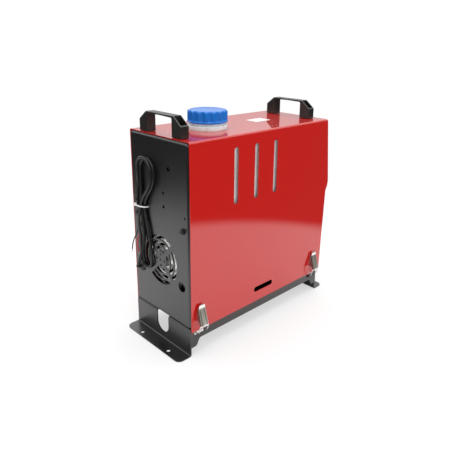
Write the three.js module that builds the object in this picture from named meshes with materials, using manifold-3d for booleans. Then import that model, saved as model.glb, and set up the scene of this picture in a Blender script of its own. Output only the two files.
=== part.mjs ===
// Diesel air heater: a red sheet-steel cover latched over a folded black base, with a fuel tank
// above a blown-air burner. Millimetres, +Z up. The origin is on the floor under the middle of the
// base, +X points to the hot-air outlet and the display, and the rear panel with its intake grille
// and hank of power cable faces -X.
import * as THREE from "three";
import { mergeVertices } from "three/addons/utils/BufferGeometryUtils.js";
import Module from "manifold-3d";

const wasm = await Module();
wasm.setup();

// ---------------------------------------------------------------- driving dimensions
const GAP = 0.3; // clearance between pieces that touch
const SHEET = 1.2; // cover sheet
const PANEL_SHEET = 1.5; // rear panel, front panel and tank tray sheet
const PLATE = 2; // base sheet

const COVER = { rear: -168, halfWidth: 77.5, bottom: 45, top: 362, bend: 3.4, corner: 7 };
// Side view of the console end: the lean of the display face, its nose and the wall below it.
const CONSOLE = { topX: 177, noseX: 190.8, noseZ: 235, heelX: 184.5, heelZ: 216, footX: 178.5 };
const BASE = { halfLength: 169.5, halfWidth: 75.7, deck: 50, railBottom: 28.5 };
const FOOT = { reach: 25.8, corner: 9, holeRadius: 3.5, holeX: 187, holeY: 38 };
const GUSSET = { bottom: 15.5, fullX: 158, endX: 148 };
const NOTCH = { halfWidth: 16, bottom: 13.5 };
const LATCH_X = 150;
const CATCH = { halfWidth: 11, bottom: 36, top: 44 };

const SIGHT_SLOT = { firstX: -70.8, pitch: 48, count: 3, halfWidth: 4.7, bottom: 246.5, top: 342 };
const LOW_SLOT = { x: 3.5, halfLength: 24.8, z: 69, halfHeight: 4.8 };

const HANDLE = { width: 16, halfLength: 53.5, leg: 22, height: 33, bevelFoot: 19, bevelIn: 18, bar: 3.2 };
const HANDLE_X = { rear: -156.5, front: 151.5 };

const NECK = { x: -65, collarRadius: 33.8, radius: 29.5, bore: 26, collarTop: 371.6, top: 386 };
const CAP = { radius: 34.5, flutes: 16, bottom: 372.6, top: 394, bore: 30.4, ceiling: 388.4 };
const TANK = { rear: -158, front: 98, halfWidth: 71, bottom: 214.6, top: 350, wall: 2.5, bend: 9 };

const CORE_Z = 151; // axis of the burner, its fans and the hot-air outlet
const GRILLE_RINGS = [[36.4, 43.7], [26.7, 34], [15.8, 24]]; // inner and outer slot radii
const CABLE_HOLE = { y: 55.6, z: 121, radius: 8.4 };
const TRAY_Z = 212.5;
const PANEL_BOLT = { y: 61, z: 219.5, hole: 3.3 };

const CABLE_DIAMETER = 5;
const WIRE_DIAMETER = 2;
const TIE_Z = 236;

// ---------------------------------------------------------------- finishes
const finish = (color, roughness, metalness = 0) =>
  new THREE.MeshStandardMaterial({ color, roughness, metalness });
const FINISH = {
  red: () => finish(0xbe1e19, 0.25),
  black: () => finish(0x26272a, 0.5),
  steel: () => finish(0xafafa0, 0.3, 1),
  brightSteel: () => finish(0xc8c8c8, 0.25, 1),
  aluminium: () => finish(0xb4b6b8, 0.45, 1),
  plastic: () => finish(0x2b2927, 0.55),
  tank: () => finish(0xe0e0dc, 0.5),
  blue: () => finish(0x145abe, 0.4),
  rubber: () => finish(0x1c1c1c, 0.8),
  whiteNylon: () => finish(0xe8e8e6, 0.4),
  redWire: () => finish(0xb02226, 0.45),
  glass: () => finish(0x20302c, 0.1),
  green: () => finish(0x1e5a34, 0.6),
  amber: () => finish(0xd9c9a0, 0.3),
};

const heater = new THREE.Group();

function add(name, geometry, material, parent = heater) {
  const mesh = new THREE.Mesh(geometry, material);
  mesh.name = name;
  parent.add(mesh);
  return mesh;
}

// ---------------------------------------------------------------- solids and outlines
function toSolid(geometry) {
  const bare = geometry.index ? geometry.toNonIndexed() : geometry.clone();
  for (const name of Object.keys(bare.attributes)) if (name !== "position") bare.deleteAttribute(name);
  const merged = mergeVertices(bare, 1e-4);
  return new wasm.Manifold(
    new wasm.Mesh({
      numProp: 3,
      vertProperties: new Float32Array(merged.attributes.position.array),
      triVerts: new Uint32Array(merged.index.array),
    }),
  );
}

function toGeometry(solid) {
  const mesh = solid.getMesh();
  const geometry = new THREE.BufferGeometry();
  geometry.setAttribute("position", new THREE.BufferAttribute(mesh.vertProperties, 3));
  geometry.setIndex(new THREE.BufferAttribute(mesh.triVerts, 1));
  geometry.computeVertexNormals();
  return geometry;
}

const join = (...shapes) => toGeometry(shapes.map(toSolid).reduce((all, next) => all.add(next)));
const cut = (shape, ...tools) =>
  toGeometry(tools.map(toSolid).reduce((left, tool) => left.subtract(tool), toSolid(shape)));
const overlap = (a, b) => toGeometry(toSolid(a).intersect(toSolid(b)));

const box = (x0, x1, y0, y1, z0, z1) =>
  new THREE.BoxGeometry(x1 - x0, y1 - y0, z1 - z0).translate((x0 + x1) / 2, (y0 + y1) / 2, (z0 + z1) / 2);

// A rod along one axis; a and b place it on the other two axes, in X, Y, Z order.
function rod(axis, radius, from, to, a, b, sides = 24) {
  const g = new THREE.CylinderGeometry(radius, radius, to - from, sides);
  const mid = (from + to) / 2;
  if (axis === "x") return g.rotateZ(-Math.PI / 2).translate(mid, a, b);
  if (axis === "y") return g.translate(a, mid, b);
  return g.rotateX(Math.PI / 2).translate(a, b, mid);
}

const tube = (axis, outer, inner, from, to, a, b, sides = 24) =>
  cut(rod(axis, outer, from, to, a, b, sides), rod(axis, inner, from - 1, to + 1, a, b, sides));

// An outline given in two axes, extruded along the third; bevel rounds both ends inwards.
function slab(shape, plane, from, to, bevel = 0, curveSegments = 6) {
  const g = new THREE.ExtrudeGeometry(shape, {
    depth: to - from - 2 * bevel,
    bevelEnabled: bevel > 0,
    bevelThickness: bevel,
    bevelSize: bevel,
    bevelOffset: -bevel,
    bevelSegments: 2,
    curveSegments,
  });
  if (plane === "xy") return g.translate(0, 0, from + bevel);
  if (plane === "xz") return g.rotateX(Math.PI / 2).translate(0, to - bevel, 0);
  const toYz = new THREE.Matrix4().makeBasis(
    new THREE.Vector3(0, 1, 0),
    new THREE.Vector3(0, 0, 1),
    new THREE.Vector3(1, 0, 0),
  );
  return g.applyMatrix4(toYz).translate(from + bevel, 0, 0);
}

const outline = (...points) => new THREE.Shape(points.map(([x, y]) => new THREE.Vector2(x, y)));

function roundedRect(x0, x1, y0, y1, r) {
  const s = new THREE.Shape();
  s.absarc(x1 - r, y0 + r, r, -Math.PI / 2, 0);
  s.absarc(x1 - r, y1 - r, r, 0, Math.PI / 2);
  s.absarc(x0 + r, y1 - r, r, Math.PI / 2, Math.PI);
  s.absarc(x0 + r, y0 + r, r, Math.PI, 1.5 * Math.PI);
  return s;
}

// Moves each corner of a closed outline so that every edge shifts outwards by distance.
function offsetLoop(points, distance) {
  const area = THREE.ShapeUtils.area(points);
  const side = Math.sign(area) * distance;
  return points.map((p, i) => {
    const before = p.clone().sub(points.at(i - 1)).normalize();
    const after = points[(i + 1) % points.length].clone().sub(p).normalize();
    const n1 = new THREE.Vector2(before.y, -before.x);
    const n2 = new THREE.Vector2(after.y, -after.x);
    return p.clone().add(n1.clone().add(n2).multiplyScalar(side / (1 + n1.dot(n2))));
  });
}

function arcSlot(inner, outer, middle, halfAngle, centreX, centreY) {
  const s = new THREE.Shape();
  s.absarc(centreX, centreY, outer, middle - halfAngle, middle + halfAngle);
  s.absarc(centreX, centreY, inner, middle + halfAngle, middle - halfAngle, true);
  return s;
}

// A tube along a smooth curve, of a section with a few sides.
function hose(points, diameter, steps, sides) {
  const section = new THREE.Shape();
  for (let i = 0; i < sides; i++) {
    const turn = (2 * Math.PI * i) / sides;
    const x = (diameter / 2) * Math.cos(turn);
    const y = (diameter / 2) * Math.sin(turn);
    if (i === 0) section.moveTo(x, y);
    else section.lineTo(x, y);
  }
  const path = new THREE.CatmullRomCurve3(points.map((p) => new THREE.Vector3(...p)), false, "centripetal");
  return new THREE.ExtrudeGeometry(section, { steps, extrudePath: path, bevelEnabled: false });
}

// ---------------------------------------------------------------- base
function gussetEnd(shape, sign) {
  const midX = (sign * (GUSSET.fullX + GUSSET.endX)) / 2;
  if (sign > 0) {
    shape.lineTo(BASE.halfLength, GUSSET.bottom);
    shape.lineTo(GUSSET.fullX, GUSSET.bottom);
    shape.bezierCurveTo(midX, GUSSET.bottom, midX, BASE.railBottom, GUSSET.endX, BASE.railBottom);
  } else {
    shape.lineTo(-GUSSET.endX, BASE.railBottom);
    shape.bezierCurveTo(midX, BASE.railBottom, midX, GUSSET.bottom, -GUSSET.fullX, GUSSET.bottom);
    shape.lineTo(-BASE.halfLength, GUSSET.bottom);
  }
}

function railOutline() {
  const s = new THREE.Shape();
  s.moveTo(-BASE.halfLength, BASE.deck);
  s.lineTo(BASE.halfLength, BASE.deck);
  gussetEnd(s, 1);
  gussetEnd(s, -1);
  return s;
}

function footOutline(sign) {
  const tip = BASE.halfLength + FOOT.reach;
  const inner = BASE.halfLength - PLATE;
  const r = FOOT.corner;
  const w = BASE.halfWidth;
  const s = new THREE.Shape();
  s.moveTo(inner, -w);
  s.lineTo(tip - r, -w);
  s.absarc(tip - r, -w + r, r, -Math.PI / 2, 0);
  s.absarc(tip - r, w - r, r, 0, Math.PI / 2);
  s.lineTo(inner, w);
  const hole = (y) => new THREE.Path().absarc(FOOT.holeX, y, FOOT.holeRadius, 0, 2 * Math.PI);
  s.holes.push(hole(FOOT.holeY), hole(-FOOT.holeY));
  return slab(s, "xy", 0, PLATE).applyMatrix4(
    sign > 0 ? new THREE.Matrix4() : new THREE.Matrix4().makeRotationZ(Math.PI),
  );
}

function notchTool() {
  const s = new THREE.Shape();
  s.moveTo(NOTCH.halfWidth, BASE.deck + 1);
  s.lineTo(-NOTCH.halfWidth, BASE.deck + 1);
  s.absarc(0, NOTCH.bottom + NOTCH.halfWidth, NOTCH.halfWidth, Math.PI, 2 * Math.PI);
  const reach = BASE.halfLength + 1;
  return slab(s, "yz", -reach, reach);
}

const STUB = { exhaustX: 38, airX: -8, outer: 12, inner: 10, bottom: 32, hole: 15 };

function baseFrame() {
  const { halfLength, halfWidth, deck } = BASE;
  const frame = join(
    box(-halfLength, halfLength, -halfWidth, halfWidth, deck - PLATE, deck),
    box(-halfLength, -halfLength + PLATE, -halfWidth, halfWidth, 0, deck),
    box(halfLength - PLATE, halfLength, -halfWidth, halfWidth, 0, deck),
    slab(railOutline(), "xz", halfWidth - PLATE, halfWidth),
    slab(railOutline(), "xz", -halfWidth, -halfWidth + PLATE),
    footOutline(1),
    footOutline(-1),
  );
  const legOnly = box(-halfLength + PLATE, halfLength - PLATE, -halfWidth, halfWidth, 0, deck + 2);
  const windows = [-LATCH_X, LATCH_X].map((x) =>
    box(x - CATCH.halfWidth, x + CATCH.halfWidth, -halfWidth - 1, halfWidth + 1, CATCH.bottom, CATCH.top),
  );
  const stubHoles = [STUB.exhaustX, STUB.airX].map((x) => rod("z", STUB.hole, 40, 60, x, 0));
  return cut(frame, cut(notchTool(), legOnly), ...windows, ...stubHoles);
}

// ---------------------------------------------------------------- rear panel
// A shallow pan: the face, with returns at its sides and top that run forwards inside the cover.
function panShape(inset) {
  const half = BASE.halfWidth - 0.1 - inset;
  return roundedRect(-half, half, BASE.deck - 40, COVER.top - SHEET - 0.6 - inset, 6 - inset);
}

const PANEL_X = -BASE.halfLength; // outer face of the rear panel
const TIE_HOLES_Y = [60.9, 31.4];

function grilleTools() {
  const tools = [];
  const spokeHalf = 4;
  for (const [inner, outer] of GRILLE_RINGS) {
    const halfAngle = Math.PI / 4 - Math.asin(spokeHalf / ((inner + outer) / 2));
    for (let quarter = 0; quarter < 4; quarter++) {
      const slot = arcSlot(inner, outer, (quarter * Math.PI) / 2, halfAngle, 0, CORE_Z);
      tools.push(slab(slot, "yz", PANEL_X - 2, PANEL_X + 4, 0, 3));
    }
  }
  const pitch = 9.9;
  for (const [y, z] of [[0, 0], [pitch, 0], [-pitch, 0], [0, pitch], [0, -pitch]]) {
    tools.push(rod("x", 2, PANEL_X - 2, PANEL_X + 4, y, CORE_Z + z, 10));
  }
  return tools;
}

function rearPanel() {
  const depth = 15;
  const pan = cut(
    slab(panShape(0), "yz", PANEL_X, PANEL_X + depth + 6, 5),
    slab(panShape(PANEL_SHEET), "yz", PANEL_X + PANEL_SHEET, PANEL_X + depth + 20, 3.5),
    box(PANEL_X + depth, PANEL_X + 40, -90, 90, 0, 400),
    box(PANEL_X - 5, PANEL_X + 40, -90, 90, 0, BASE.deck + 0.4),
  );
  const hole = (radius, y, z, sides = 12) => rod("x", radius, PANEL_X - 2, PANEL_X + 4, y, z, sides);
  return cut(
    pan,
    ...grilleTools(),
    hole(CABLE_HOLE.radius, CABLE_HOLE.y, CABLE_HOLE.z, 24),
    hole(CABLE_HOLE.radius, -CABLE_HOLE.y, CABLE_HOLE.z, 24),
    hole(PANEL_BOLT.hole, PANEL_BOLT.y, PANEL_BOLT.z),
    hole(PANEL_BOLT.hole, -PANEL_BOLT.y, PANEL_BOLT.z),
    hole(2, 66, 242),
    hole(2, -66, 242),
    hole(2.3, -12, 271),
    hole(2.3, -12, 247.5),
    hole(3.6, -27, 313),
    ...TIE_HOLES_Y.map((y) => hole(2.6, y, TIE_Z)),
  );
}

function panelBolt(name, side) {
  const head = new THREE.LatheGeometry(
    [[0, 0], [5.5, 0], [5, 2], [3, 3.6], [0, 4]].map(([r, h]) => new THREE.Vector2(r, h)),
    12,
  );
  head.rotateZ(Math.PI / 2); // the lathe axis now points to -X, out of the panel
  const bolt = join(head, rod("x", 2.9, -0.5, 11, 0, 0, 12));
  add(name, bolt, FINISH.steel()).position.set(PANEL_X - GAP, side * PANEL_BOLT.y, PANEL_BOLT.z);
}

// ---------------------------------------------------------------- front panel and tank tray
const FRONT_PANEL_X = BASE.halfLength - PANEL_SHEET;
const DUCT = { outer: 44, inner: 41.6, from: 139, to: 167 };

function frontPanel() {
  const upright = box(FRONT_PANEL_X, BASE.halfLength, -BASE.halfWidth + 4, BASE.halfWidth - 4,
    BASE.deck + 0.4, 228);
  const window = rod("x", DUCT.outer + 2.5, 160, 175, 0, CORE_Z, 32);
  return cut(upright, window);
}

function tankTray() {
  const rear = PANEL_X + PANEL_SHEET + GAP;
  const front = FRONT_PANEL_X - GAP;
  const w = 72;
  const tray = join(
    box(rear, front, -w, w, TRAY_Z, TRAY_Z + PANEL_SHEET),
    box(rear, rear + PANEL_SHEET, -w, w, TRAY_Z, 228),
    box(front - PANEL_SHEET, front, -w, w, TRAY_Z, 228),
    box(rear, front, w - PANEL_SHEET + 1.6, w + 1.6, TRAY_Z, TRAY_Z + 8),
    box(rear, front, -w - 1.6, -w + PANEL_SHEET - 1.6, TRAY_Z, TRAY_Z + 8),
    box(rear, front, w - 1, w + 1.6, TRAY_Z, TRAY_Z + PANEL_SHEET),
    box(rear, front, -w - 1.6, -w + 1, TRAY_Z, TRAY_Z + PANEL_SHEET),
  );
  const bendRelief = (side) => box(rear - 1, rear + 4.5, Math.min(side * 69, side * 80),
    Math.max(side * 69, side * 80), TRAY_Z - 1, 240);
  return cut(
    tray,
    bendRelief(1),
    bendRelief(-1),
    rod("x", PANEL_BOLT.hole, rear - 1, rear + 3, PANEL_BOLT.y, PANEL_BOLT.z, 12),
    rod("x", PANEL_BOLT.hole, rear - 1, rear + 3, -PANEL_BOLT.y, PANEL_BOLT.z, 12),
    rod("z", 6, TRAY_Z - 2, TRAY_Z + 4, FUEL_DROP.x, FUEL_DROP.y, 12),
  );
}

// ---------------------------------------------------------------- cover
function coverProfile() {
  const past = 12; // drawn past the open rear and bottom, then trimmed
  const { topX, noseX, noseZ, heelX, heelZ, footX } = CONSOLE;
  const s = new THREE.Shape();
  s.moveTo(COVER.rear - past, COVER.bottom - past);
  s.lineTo(footX - 0.4, COVER.bottom - past);
  s.lineTo(heelX, heelZ);
  s.lineTo(noseX - 1, noseZ - 8);
  s.lineTo(noseX, noseZ);
  s.lineTo(topX + 0.7, COVER.top - COVER.corner);
  s.quadraticCurveTo(topX, COVER.top, topX - COVER.corner, COVER.top);
  s.lineTo(COVER.rear - past, COVER.top);
  return s.getPoints(4);
}

const DISPLAY = { halfWidth: 46, halfHeight: 27 }; // body that passes through the cover
const OUTLET = { spigot: 43, bore: 40.6, flange: 49 };

// Frames on the cover's front: local +X leaves the sheet, +Z runs up it.
function faceFrame(x, z, tilt) {
  const frame = new THREE.Group();
  frame.position.set(x, 0, z);
  frame.rotation.y = tilt;
  frame.updateMatrix();
  heater.add(frame);
  return frame;
}

const wallX = (z) => {
  const { noseX, noseZ, topX, heelX, heelZ, footX } = CONSOLE;
  if (z > noseZ) return THREE.MathUtils.mapLinear(z, noseZ, COVER.top, noseX, topX);
  return THREE.MathUtils.mapLinear(z, COVER.bottom, heelZ, footX, heelX);
};
const DISPLAY_Z = 299;
const displayTilt = -Math.atan2(CONSOLE.noseX - CONSOLE.topX, COVER.top - CONSOLE.noseZ);
const outletTilt = Math.atan2(CONSOLE.heelX - CONSOLE.footX, CONSOLE.heelZ - COVER.bottom);
const displayFrame = faceFrame(wallX(DISPLAY_Z), DISPLAY_Z, displayTilt);
const outletFrame = faceFrame(wallX(CORE_Z), CORE_Z, outletTilt);

function slotOutline(x, z, halfWidth, halfHeight) {
  const corner = Math.min(halfWidth, halfHeight) - 0.05;
  return roundedRect(x - halfWidth, x + halfWidth, z - halfHeight, z + halfHeight, corner);
}

function cover() {
  const profile = coverProfile();
  const w = COVER.halfWidth;
  const outer = slab(new THREE.Shape(profile), "xz", -w, w, COVER.bend);
  const inside = new THREE.Shape(offsetLoop(profile, -SHEET).map((p) =>
    new THREE.Vector2(p.x < COVER.rear ? p.x - 8 : p.x, p.y < COVER.bottom ? p.y - 8 : p.y)));
  const inner = slab(inside, "xz", -w + SHEET, w - SHEET, COVER.bend - SHEET);
  const slots = [];
  for (let i = 0; i < SIGHT_SLOT.count; i++) {
    const x = SIGHT_SLOT.firstX + i * SIGHT_SLOT.pitch;
    const mid = (SIGHT_SLOT.bottom + SIGHT_SLOT.top) / 2;
    slots.push(slab(slotOutline(x, mid, SIGHT_SLOT.halfWidth, SIGHT_SLOT.top - mid), "xz", -90, 90));
  }
  const lowSlot = slotOutline(LOW_SLOT.x, LOW_SLOT.z, LOW_SLOT.halfLength, LOW_SLOT.halfHeight);
  slots.push(slab(lowSlot, "xz", -90, 90));
  const { halfWidth, halfHeight } = DISPLAY;
  const displayHole = box(-8, 8, -halfWidth - 0.6, halfWidth + 0.6, -halfHeight - 0.6, halfHeight + 0.6);
  const outletHole = rod("x", OUTLET.spigot + 0.6, -8, 8, 0, 0, 32);
  return cut(
    outer,
    inner,
    box(COVER.rear - 30, COVER.rear, -90, 90, 0, 400),
    box(-300, 300, -90, 90, 0, COVER.bottom),
    ...slots,
    rod("z", NECK.collarRadius + 1, COVER.top - 8, COVER.top + 8, NECK.x, 0, 40),
    displayHole.applyMatrix4(displayFrame.matrix),
    outletHole.applyMatrix4(outletFrame.matrix),
  );
}

// ---------------------------------------------------------------- carrying handles
function handle(name, x) {
  const { width, halfLength, leg, height, bevelFoot, bevelIn, bar } = HANDLE;
  const inner = halfLength - leg;
  const bridge = outline(
    [halfLength, 0], [halfLength, bevelFoot], [halfLength - bevelIn, height],
    [-halfLength + bevelIn, height], [-halfLength, bevelFoot], [-halfLength, 0],
    [-inner, 0], [-inner, height - bar - 2], [-inner + 2, height - bar],
    [inner - 2, height - bar], [inner, height - bar - 2], [inner, 0],
  );
  const wall = 2;
  const pocket = (side) => {
    const near = halfLength - bevelIn - 0.5;
    const far = halfLength - wall;
    return box(-width / 2 + wall, width / 2 - wall, Math.min(side * near, side * far),
      Math.max(side * near, side * far), 4, height + 5);
  };
  const screwHole = (side) => rod("z", 2.4, -1, 5, 0, side * (halfLength - leg / 2), 10);
  const body = slab(bridge, "yz", -width / 2, width / 2);
  const shape = cut(body, pocket(1), pocket(-1), screwHole(1), screwHole(-1));
  add(name, shape, FINISH.plastic()).position.set(x, 0, COVER.top + GAP);
}

// ---------------------------------------------------------------- fuel tank, cap and seal
function tankShell(inset) {
  const t = TANK;
  const shape = roundedRect(t.rear + inset, t.front - inset, -t.halfWidth + inset, t.halfWidth - inset,
    14 - inset);
  return slab(shape, "xy", t.bottom + inset, t.top - inset, t.bend - inset, 2);
}

const TANK_OUTLET = { y: -30, z: 228, radius: 3.5 };

function fuelTank() {
  const { x, collarRadius, radius, bore, collarTop, top } = NECK;
  const shell = join(
    tankShell(0),
    rod("z", collarRadius, TANK.top - 6, collarTop, x, 0, 40),
    rod("z", radius, TANK.top, top, x, 0, 32),
    rod("x", TANK_OUTLET.radius, TANK.front - 4, TANK.front + 8, TANK_OUTLET.y, TANK_OUTLET.z, 10),
  );
  return cut(
    shell,
    tankShell(TANK.wall),
    rod("z", bore, TANK.top - 10, top + 1, x, 0, 32),
    rod("x", TANK_OUTLET.radius - 1.5, TANK.front - 8, TANK.front + 9, TANK_OUTLET.y, TANK_OUTLET.z, 10),
  );
}

// The skirt's outline: a circle with a shallow scallop between each pair of grips.
function flutedOutline(radius, depth) {
  const s = new THREE.Shape();
  const perFlute = 4;
  for (let i = 0; i < CAP.flutes * perFlute; i++) {
    const turn = (2 * Math.PI * i) / (CAP.flutes * perFlute);
    const r = radius - depth * Math.abs(Math.sin((CAP.flutes * turn) / 2)) ** 1.5;
    const [x, y] = [r * Math.cos(turn), r * Math.sin(turn)];
    if (i === 0) s.moveTo(x, y);
    else s.lineTo(x, y);
  }
  return s;
}

function fuelCap() {
  const skirt = slab(flutedOutline(CAP.radius - 0.2, 2), "xy", CAP.bottom - 6, CAP.top, 1.6);
  const rim = rod("z", CAP.radius, CAP.bottom, CAP.bottom + 3, 0, 0, 40);
  return cut(
    join(skirt, rim),
    box(-50, 50, -50, 50, CAP.bottom - 10, CAP.bottom),
    rod("z", CAP.bore, CAP.bottom - 1, CAP.ceiling, 0, 0, 32),
  );
}

function fillerCap() {
  const place = new THREE.Group();
  place.position.set(NECK.x, 0, 0);
  heater.add(place);
  add("fuel_cap", fuelCap(), FINISH.blue(), place);
  add("cap_seal", tube("z", 29.4, 22, NECK.top + GAP, CAP.ceiling - GAP, 0, 0, 28), FINISH.rubber(), place);
}

// ---------------------------------------------------------------- draw latches
// In a latch's own frame Y leaves the cover, Z is up from the floor and X runs along the cover.
const LATCH = { pin: [8.5, 62], bailPivot: [10.6, 57], hook: [-2.8, 42.4], knee: [1.8, 42.4] };

function latchBase() {
  const ear = outline([0.6, 62], [7.6, 60.4], [9.6, 60.9], [10.2, 62.6], [9.2, 63.8], [2, 76], [0.6, 80]);
  const earAt = (side) => {
    const [x0, x1] = side > 0 ? [4.6, 5.6] : [-5.6, -4.6];
    return slab(ear, "yz", x0, x1);
  };
  return join(
    box(-5.6, 5.6, GAP, 1.5, 64, 84),
    earAt(1),
    earAt(-1),
    rod("x", 1.1, -7.7, 7.7, ...LATCH.pin, 10),
  );
}

function latchLever() {
  const face = outline([3.8, 86.5], [5, 87], [13.6, 56.4], [12.4, 56.1]);
  const flank = outline([3.9, 86], [5, 86.5], [13.4, 56.6], [12, 55.1], [9.6, 55.4], [6.2, 61], [6.2, 65]);
  const tab = outline([3.6, 85.8], [4.9, 86.8], [6.1, 92.4], [5, 92.9]);
  const flankAt = (side) => slab(flank, "yz", side > 0 ? 6.2 : -7.4, side > 0 ? 7.4 : -6.2);
  const body = join(slab(face, "yz", -7.4, 7.4), slab(tab, "yz", -6.4, 6.4), flankAt(1), flankAt(-1));
  return cut(
    body,
    rod("x", 1.45, -9, 9, ...LATCH.pin, 8),
    rod("x", 1.3, -9, 9, ...LATCH.bailPivot, 8),
  );
}

// A strip from a to b in the YZ plane, half as wide as given and as far past both ends.
function strip(a, b, half) {
  const [from, to] = [new THREE.Vector2(...a), new THREE.Vector2(...b)];
  const along = to.clone().sub(from).setLength(half);
  const across = new THREE.Vector2(-along.y, along.x);
  from.sub(along);
  to.add(along);
  const corners = [[from, -1], [to, -1], [to, 1], [from, 1]];
  return new THREE.Shape(corners.map(([p, side]) => p.clone().addScaledVector(across, side)));
}

function latchBail() {
  const { bailPivot, knee, hook } = LATCH;
  const wire = 0.9;
  const armX = 8.7;
  const arm = (x) => [
    slab(strip(bailPivot, knee, wire), "yz", x - wire, x + wire),
    slab(strip(knee, hook, wire), "yz", x - wire, x + wire),
  ];
  return join(
    ...arm(armX),
    ...arm(-armX),
    rod("x", wire, -armX, armX, ...hook, 8),
    rod("x", wire, 5.9, armX, ...bailPivot, 8),
    rod("x", wire, -armX, -5.9, ...bailPivot, 8),
  );
}

function latch(number, x, side) {
  const place = new THREE.Group();
  place.position.set(x, side * COVER.halfWidth, 0);
  if (side < 0) place.rotation.z = Math.PI;
  heater.add(place);
  add(`latch_${number}_base`, latchBase(), FINISH.steel(), place);
  add(`latch_${number}_lever`, latchLever(), FINISH.steel(), place);
  add(`latch_${number}_bail`, latchBail(), FINISH.brightSteel(), place);
}

// ---------------------------------------------------------------- power cable, tie and wires
// The hank lies on the rear panel in two layers. Depths are measured out from the panel's face.
const NEAR = 3.1;
const OVER = 8.9;

// Points on a circle in the panel's plane, from one angle to another, at one depth or easing
// from one depth to the next. Angles turn from +Y towards +Z.
function loopArc(y, z, radius, fromDeg, toDeg, fromDepth, toDepth = fromDepth, count = 7) {
  return Array.from({ length: count }, (_, i) => {
    const t = i / (count - 1);
    const angle = THREE.MathUtils.degToRad(THREE.MathUtils.lerp(fromDeg, toDeg, t));
    const depth = THREE.MathUtils.lerp(fromDepth, toDepth, t);
    return [PANEL_X - depth, y + radius * Math.cos(angle), z + radius * Math.sin(angle)];
  });
}

const at = (depth, y, z) => [PANEL_X - depth, y, z];

const cableRoute = [
  at(-1.5, CABLE_HOLE.y, CABLE_HOLE.z), // inside the grommet
  at(3.4, CABLE_HOLE.y, CABLE_HOLE.z),
  at(7.6, 55, 121.6),
  at(11.2, 53.3, 123.2),
  at(13.5, 50.7, 125.7),
  at(14.3, 47.7, 128.8),
  at(14, 44.4, 135.5),
  at(12.2, 41.8, 145.5),
  at(9, 40.4, 156),
  at(5.4, 40, 168),
  at(3.4, 40.5, 181),
  at(NEAR, 42.2, 200),
  at(NEAR, 43.8, 219),
  at(NEAR, 44, TIE_Z), // up through the tie
  at(NEAR, 44, 262),
  ...loopArc(27, 303, 17.2, 4, 176, NEAR), // top loop, towards the middle of the panel
  at(NEAR, 10.2, 288),
  at(NEAR, 15.2, 274),
  at(NEAR, 25, 260.5),
  at(NEAR, 33, 248.5),
  at(NEAR, 36.2, TIE_Z), // down through the tie
  at(NEAR, 32.6, 215),
  at(NEAR, 26.4, 190),
  at(NEAR, 22.8, 164),
  ...loopArc(37, 141, 15, 176, 364, NEAR), // bottom loop
  at(NEAR, 52, 160),
  at(3.8, 51.4, 180),
  at(7.2, 49.8, 199),
  at(OVER, 46, 217),
  at(OVER, 41, TIE_Z), // up through the tie, over the first turn
  at(OVER, 35, 249),
  at(OVER, 26, 262),
  at(OVER, 15.6, 275.5),
  at(OVER, 10.6, 290),
  ...loopArc(29.2, 303.5, 19.2, 174, 66, OVER, OVER, 5), // second top loop, back to the edge
  ...loopArc(29.2, 303.5, 19.2, 46, 8, 8.5, 7.4, 3),
  at(5.4, 50.4, 290),
  at(3.3, 52.8, 276),
  at(NEAR, 55.4, 256),
  at(NEAR, 55.4, TIE_Z), // down through the tie
  at(NEAR, 52.2, 225),
  at(NEAR, 51.8, 214),
  at(NEAR, 54, 204),
  at(3.7, 56.4, 194),
];

// The least clear space between stretches of the cable that aren't neighbours along it.
function leastGap(points, diameter) {
  const path = new THREE.CatmullRomCurve3(points.map((p) => new THREE.Vector3(...p)), false, "centripetal");
  const samples = path.getSpacedPoints(700);
  const apart = Math.ceil((4 * diameter * 700) / path.getLength());
  let least = Infinity;
  for (let i = 0; i < samples.length; i++)
    for (let j = i + apart; j < samples.length; j++)
      least = Math.min(least, samples[i].distanceTo(samples[j]));
  return { length: path.getLength(), gap: least - diameter };
}

function powerCable() {
  const { length, gap } = leastGap(cableRoute, CABLE_DIAMETER);
  console.log(`power cable: ${length.toFixed(0)} mm long, least gap to itself ${gap.toFixed(2)} mm`);
  add("power_cable", hose(cableRoute, CABLE_DIAMETER, 132, 6), FINISH.rubber());
}

// The two conductors leave the sheath a little apart and hang down from its end.
const SHEATH_END = cableRoute.at(-1);
const wireRoutes = {
  red_wire: [[-0.1, -1.3, -2.9], [-0.4, -1.6, -12], [-1.4, 1.6, -21], [-1.8, 3.6, -30], [-1.6, 2.4, -38],
    [-1.6, 0.2, -46]],
  black_wire: [[-0.1, 1.3, -2.9], [-1.6, 2.6, -10], [-4.4, 7, -20], [-6.4, 10.4, -31], [-7.4, 12, -43]],
};

function conductor(name, material) {
  const start = new THREE.Vector3(...SHEATH_END);
  const points = wireRoutes[name].map((p) => new THREE.Vector3(...p).add(start).toArray());
  add(name, hose(points, WIRE_DIAMETER, 16, 6), material);
}

// The tie is one closed band: over the hank, through two holes of the panel and shut behind it.
function cableTie() {
  const thickness = 1.1;
  const band = 3.6;
  const [left, right] = [TIE_HOLES_Y[0] - 0.6, TIE_HOLES_Y[1] + 0.6];
  const inside = [
    [PANEL_X + 4.5, left], [PANEL_X - 6.3, left], [PANEL_X - 12.2, 45.5], [PANEL_X - 12.2, 38],
    [PANEL_X - 6, right], [PANEL_X + 4.5, right],
  ].map(([x, y]) => new THREE.Vector2(x, y));
  const ring = new THREE.Shape(offsetLoop(inside, thickness));
  ring.holes.push(new THREE.Path(inside));
  const head = new THREE.BoxGeometry(4, 6, 5.2).rotateZ(-0.36).translate(PANEL_X - 11.2, 51.5, TIE_Z);
  return join(slab(ring, "xy", TIE_Z - band / 2, TIE_Z + band / 2), head);
}

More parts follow.
